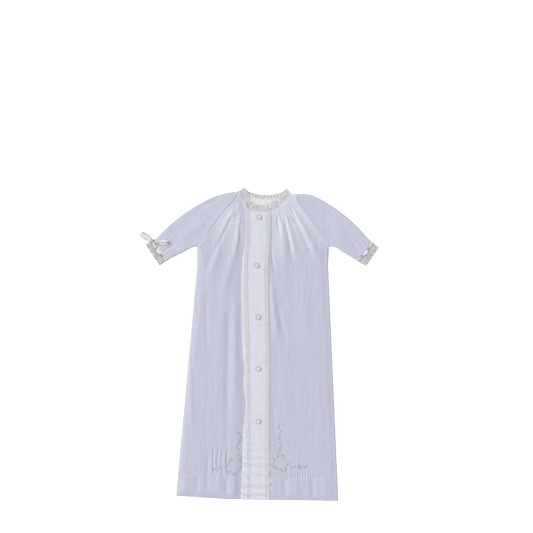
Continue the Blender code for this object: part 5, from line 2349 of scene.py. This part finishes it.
@dataclass
class Embroidery:
    """Rosebuds and leaves sewn beside the placket above the hem."""

    finishes: Finishes
    workshop: Workshop
    vines: tuple[Vine, ...] = (
        # Left front: upright vine, wreath, level vine
        Vine(((36, 140), (41, 127), (37, 113), (41, 99), (38, 88)), (0.22, 0.50), 3),
        Vine(
            ((40, 82), (29, 76), (27.5, 66), (34, 56), (46, 56), (54, 64), (52, 76), (43, 82)),
            (0.06, 0.34, 0.60, 0.74),
            5
        ),
        Vine(((60, 60), (70, 64), (80, 61), (92, 65)), (0.40, 0.84), 8),
        # Right front
        Vine(((-39, 127), (-34.5, 115), (-38.5, 103), (-34.5, 91), (-37, 84)), (0.20, 0.42), 11),
        Vine(
            ((-41, 80), (-34.5, 75), (-32.5, 64), (-37, 54), (-46, 49), (-56, 53), (-57.5, 66), (-50, 79)),
            (0.08, 0.52, 0.66),
            13
        ),
        Vine(((-61, 59), (-68, 62), (-76, 57), (-86, 61)), (0.50,), 17),
    )

    def _bullion(
        self, start: Point, end: Point, bend: float, height: float, radius: float, deep: float,
        rows: int = 19, sides: int = 8,
    ) -> tuple[Array, float]:
        """A coiled knot of floss from one point to another.

        Args:
            start, end: Where it starts and ends.
            bend: How far it bows to its left.
            height: How high it stands.
            radius: Its radius.
            deep: Its tone, from 0 to 1.
            rows, sides: Spans along it and round it.

        Returns:
            Its points and its tone.
        """
        t = even(rows)
        a, b = np.array(start, float), np.array(end, float)
        side = np.array([a[1] - b[1], b[0] - a[0]]) / np.linalg.norm(b - a)
        path = a + (b - a) * t[:, None] + side * bend * np.sin(np.pi * t)[:, None]
        angle = angles(sides)
        swell = radius * (0.45 + 0.55 * np.sin(np.pi * t)[:, None] ** 0.5)
        swell = swell * (1 + 0.12 * np.cos(2 * np.pi * 7 * t[:, None] + angle))
        lift = (height + 0.25 * np.sin(np.pi * t))[:, None]
        x = path[:, :1] + side[0] * swell * np.cos(angle)
        y = path[:, 1:] + side[1] * swell * np.cos(angle)
        return np.stack([x, y, lift + swell * np.sin(angle)], axis=2), deep

    def _shape(self, name: str, tubes: Sequence[tuple[Array, float]]) -> Piece:
        """A small sewn shape at zero, made of tubes, as a mesh in metres.

        Args:
            name: The shape's name.
            tubes: Each tube's points and tone.

        Returns:
            The shape.
        """
        points, faces, deep, start = [], [], [], 0
        for tube, tone in tubes:
            rows, columns = tube.shape[:2]
            corners = grid_faces(rows, columns, True, 1)
            side = start + corners[..., 0] * columns + corners[..., 1] % columns
            flat = tube.reshape(-1, 3)
            if signed_volume(flat, side - start) < 0:
                side = side[:, ::-1]
            points.append(flat)
            faces += side.tolist()
            ends = [list(range(end, end + columns)) for end in (start, start + (rows - 1) * columns)]
            faces += [ends[0], ends[1][::-1]]
            deep.append(np.full(len(flat), tone))
            start += len(flat)
        mesh = bpy.data.meshes.new(name)
        mesh.from_pydata((np.concatenate(points) * MM).tolist(), [], faces)
        mark(mesh, "deep", np.concatenate(deep))
        return bpy.data.objects.new(name, mesh)

    def _rosebud(self) -> Piece:
        """Two pale outer bullions round a deeper middle one.

        Returns:
            The shape.
        """
        return self._shape("rosebud", [
            self._bullion((-1.5, 0), (1.5, 0), 0.0, 0.30, 0.55, 0.8),
            self._bullion((-1.7, -0.1), (1.4, -0.5), -0.75, 0.16, 0.50, 0.1),
            self._bullion((-1.7, 0.1), (1.4, 0.5), 0.75, 0.16, 0.50, 0.0),
        ])

    def _leaf(self) -> Piece:
        """A looped stitch held down at its tip.

        Returns:
            The shape.
        """
        t = even(10)
        x = -1.5 + 3.0 * np.sin(np.pi * t)
        y = 0.68 * np.sin(2 * np.pi * t)
        path = np.stack([x, y, np.full(10, 0.16)], axis=1)
        way = unit(np.gradient(path, axis=0))
        side = np.stack([-way[:, 1], way[:, 0], np.zeros(10)], axis=1)
        angle = angles(4)
        rim = side[:, None] * np.cos(angle)[:, None] + np.array([0, 0, 1.0]) * np.sin(angle)[:, None]
        loop = path[:, None] + 0.24 * rim
        tie = self._bullion((1.2, 0), (2.3, 0), 0.0, 0.2, 0.2, 0.4, 4, 3)
        vein = self._bullion((-1.2, 0), (0.9, 0), 0.0, 0.1, 0.26, 0.5, 5, 4)
        return self._shape("leaf", [(loop, 0.1), tie, vein])

    def _sown(
        self, name: str, sprigs: Sequence[Sprig], shape: Piece, ground: Ground, finish: Material
    ) -> Piece:
        """A shape at every sprig.

        Args:
            name: The piece's name.
            sprigs: Where the shapes go.
            shape: The sewn shape.
            ground: The cloth below.
            finish: The floss.

        Returns:
            One piece with every shape.
        """
        points = np.array([(s.x, s.y, ground.height((s.x, s.y), 3.5)) for s in sprigs])
        values = {"turn": np.array([s.turn for s in sprigs]), "size": np.array([s.size for s in sprigs])}
        base = add_piece(name, points, NO_FACES, finish, values=values)
        self.workshop.grow(base, self.workshop.scatter, {"Shape": shape, "Size": 1.0, "Finish": finish})
        bpy.data.objects.remove(shape)
        return settle(base, "cotton")

    def build(self, ground: Ground) -> list[Piece]:
        """Buds, leaves and stems.

        Args:
            ground: The cloth below.

        Returns:
            The buds, the leaves and the stems.
        """
        buds: list[Sprig] = []
        leaves: list[Sprig] = []
        stems = []
        for vine in self.vines:
            some_buds, some_leaves = vine.sprigs()
            buds += some_buds
            leaves += some_leaves
            stems.append(ground.over(vine.line(), 0.08))
        stem = self.workshop.sew("embroidered_stems", stems, 1.9, 1.3, 0.11, self.finishes.leaf_floss)
        return [
            self._sown("embroidered_rosebuds", buds, self._rosebud(), ground, self.finishes.rose_floss),
            self._sown("embroidered_leaves", leaves, self._leaf(), ground, self.finishes.leaf_floss),
            stem,
        ]


@dataclass
class HandSewing:
    """Stitches that hold the hem, the neck casing and the laces."""

    lay: GownLay
    finishes: Finishes
    workshop: Workshop
    pitch: float = 2.6
    length: float = 1.5
    thread: float = 0.15

    def build(self, ground: Ground) -> Piece:
        """Rows along the hem's top, on the neck lace's seam and at the casing's lower edge.

        Args:
            ground: The cloth below.

        Returns:
            The stitches.
        """
        lines = []
        for first, last in ((-149.0, -31.0), (23.5, 146.0)):
            x = np.linspace(first, last, 90)
            line = np.stack([x, self.lay.hem_y(x) + self.lay.hem_depth - 0.6], axis=1)
            lines.append(ground.over(line, 0.06))
        seam = edge_line(FRONT_NECK, "seam")
        for inset, start, stop in ((0.9, 0.03, 0.97), (11.0, 0.06, 0.26), (11.0, 0.62, 0.93)):
            line = along(shifted(seam, -inset), np.linspace(start, stop, 90))
            lines.append(ground.over(line, 0.06, 3.4))
        name, cotton = "hem_and_neck_stitching", self.finishes.cotton_thread
        return self.workshop.sew(name, lines, self.pitch, self.length, self.thread, cotton)


@dataclass
class Studio:
    """A pale table, soft light and a camera straight above."""

    picture_pixels: int = 533
    mm_per_pixel: float = 1.85
    lens: float = 85.0
    sensor: float = 36.0
    middle: Point = (15.7, 432.0)
    face_height: float = 0.003
    table_reach: float = 6.0
    table_drop: float = 0.0003

    def _light(self, name: str, place: Triple, size: float, watts: float, colour: Triple) -> None:
        """A square soft light aimed at the gown.

        Args:
            name: The light's name.
            place: Where it stands.
            size: Its width.
            watts: Its power.
            colour: Its colour.
        """
        data = bpy.data.lights.new(name, "AREA")
        data.shape, data.size, data.energy, data.color = "SQUARE", size, watts, colour
        lamp = linked(name, data)
        lamp.location = place
        lamp.rotation_mode = "QUATERNION"
        lamp.rotation_quaternion = (-Vector(place)).to_track_quat("-Z", "Y")

    def _table(self) -> None:
        """The table, just under the cloth."""
        mesh = bpy.data.meshes.new("table")
        reach, z = self.table_reach, -self.table_drop
        corners = [(-reach, -reach, z), (reach, -reach, z), (reach, reach, z), (-reach, reach, z)]
        mesh.from_pydata(corners, [], [(0, 1, 2, 3)])
        mesh.materials.append(Tabletop().material())
        table = linked("table", mesh)
        table.visible_diffuse = False

    def _camera(self) -> None:
        """The camera, whose picture is as wide as the photograph's."""
        data = bpy.data.cameras.new("camera")
        data.lens, data.sensor_width = self.lens, self.sensor
        camera = linked("camera", data)
        width = self.picture_pixels * self.mm_per_pixel * MM
        x, y, _ = in_metres(np.array([*self.middle, 0.0]))
        camera.location = (x, y, width * self.lens / self.sensor + self.face_height)
        camera.rotation_euler = (0.0, 0.0, 0.0)
        bpy.context.scene.camera = camera

    def build(self) -> None:
        """Everything round the gown."""
        self._table()
        self._camera()
        self._light("key", (-9.8, 3.8, 5.8), 4.4, 1440.0, (1.0, 0.99, 0.97))
        self._light("fill", (1.6, -0.5, 1.8), 1.8, 9.0, (0.95, 0.97, 1.0))
        world = bpy.data.worlds.new("studio")
        world.use_nodes = True
        background = world.node_tree.nodes["Background"]
        background.inputs[0].default_value = (1.0, 1.0, 1.0, 1)
        background.inputs[1].default_value = 0.5
        bpy.context.scene.world = world
        bpy.context.scene.view_settings.view_transform = "Standard"


def main() -> None:
    """Dresses the whole gown."""
    logging.basicConfig(level=logging.INFO, format="%(message)s")
    lay, finishes, workshop = GownLay(), Finishes(), Workshop()
    Studio().build()
    panels = BodyPanels(lay, finishes.batiste)
    fronts = [panels.front(side) for side in Side]
    panels.back()
    sleeves = Sleeves(lay, finishes.batiste)
    tubes = [sleeves.build(side) for side in Side]
    Placket(lay, finishes, workshop).build()
    Neckline(lay, finishes, workshop).build()
    cuffs = Cuffs(lay, sleeves, finishes, workshop)
    trimmings = [cuffs.build(side) for side in Side]
    RibbonBow(finishes, Ground([tubes[0], trimmings[0][1]])).build()
    Buttons(finishes).build(workshop)
    ground = Ground([*fronts, *tubes])
    Embroidery(finishes, workshop).build(ground)
    HandSewing(lay, finishes, workshop).build(ground)


if __name__ == "__main__":
    main()
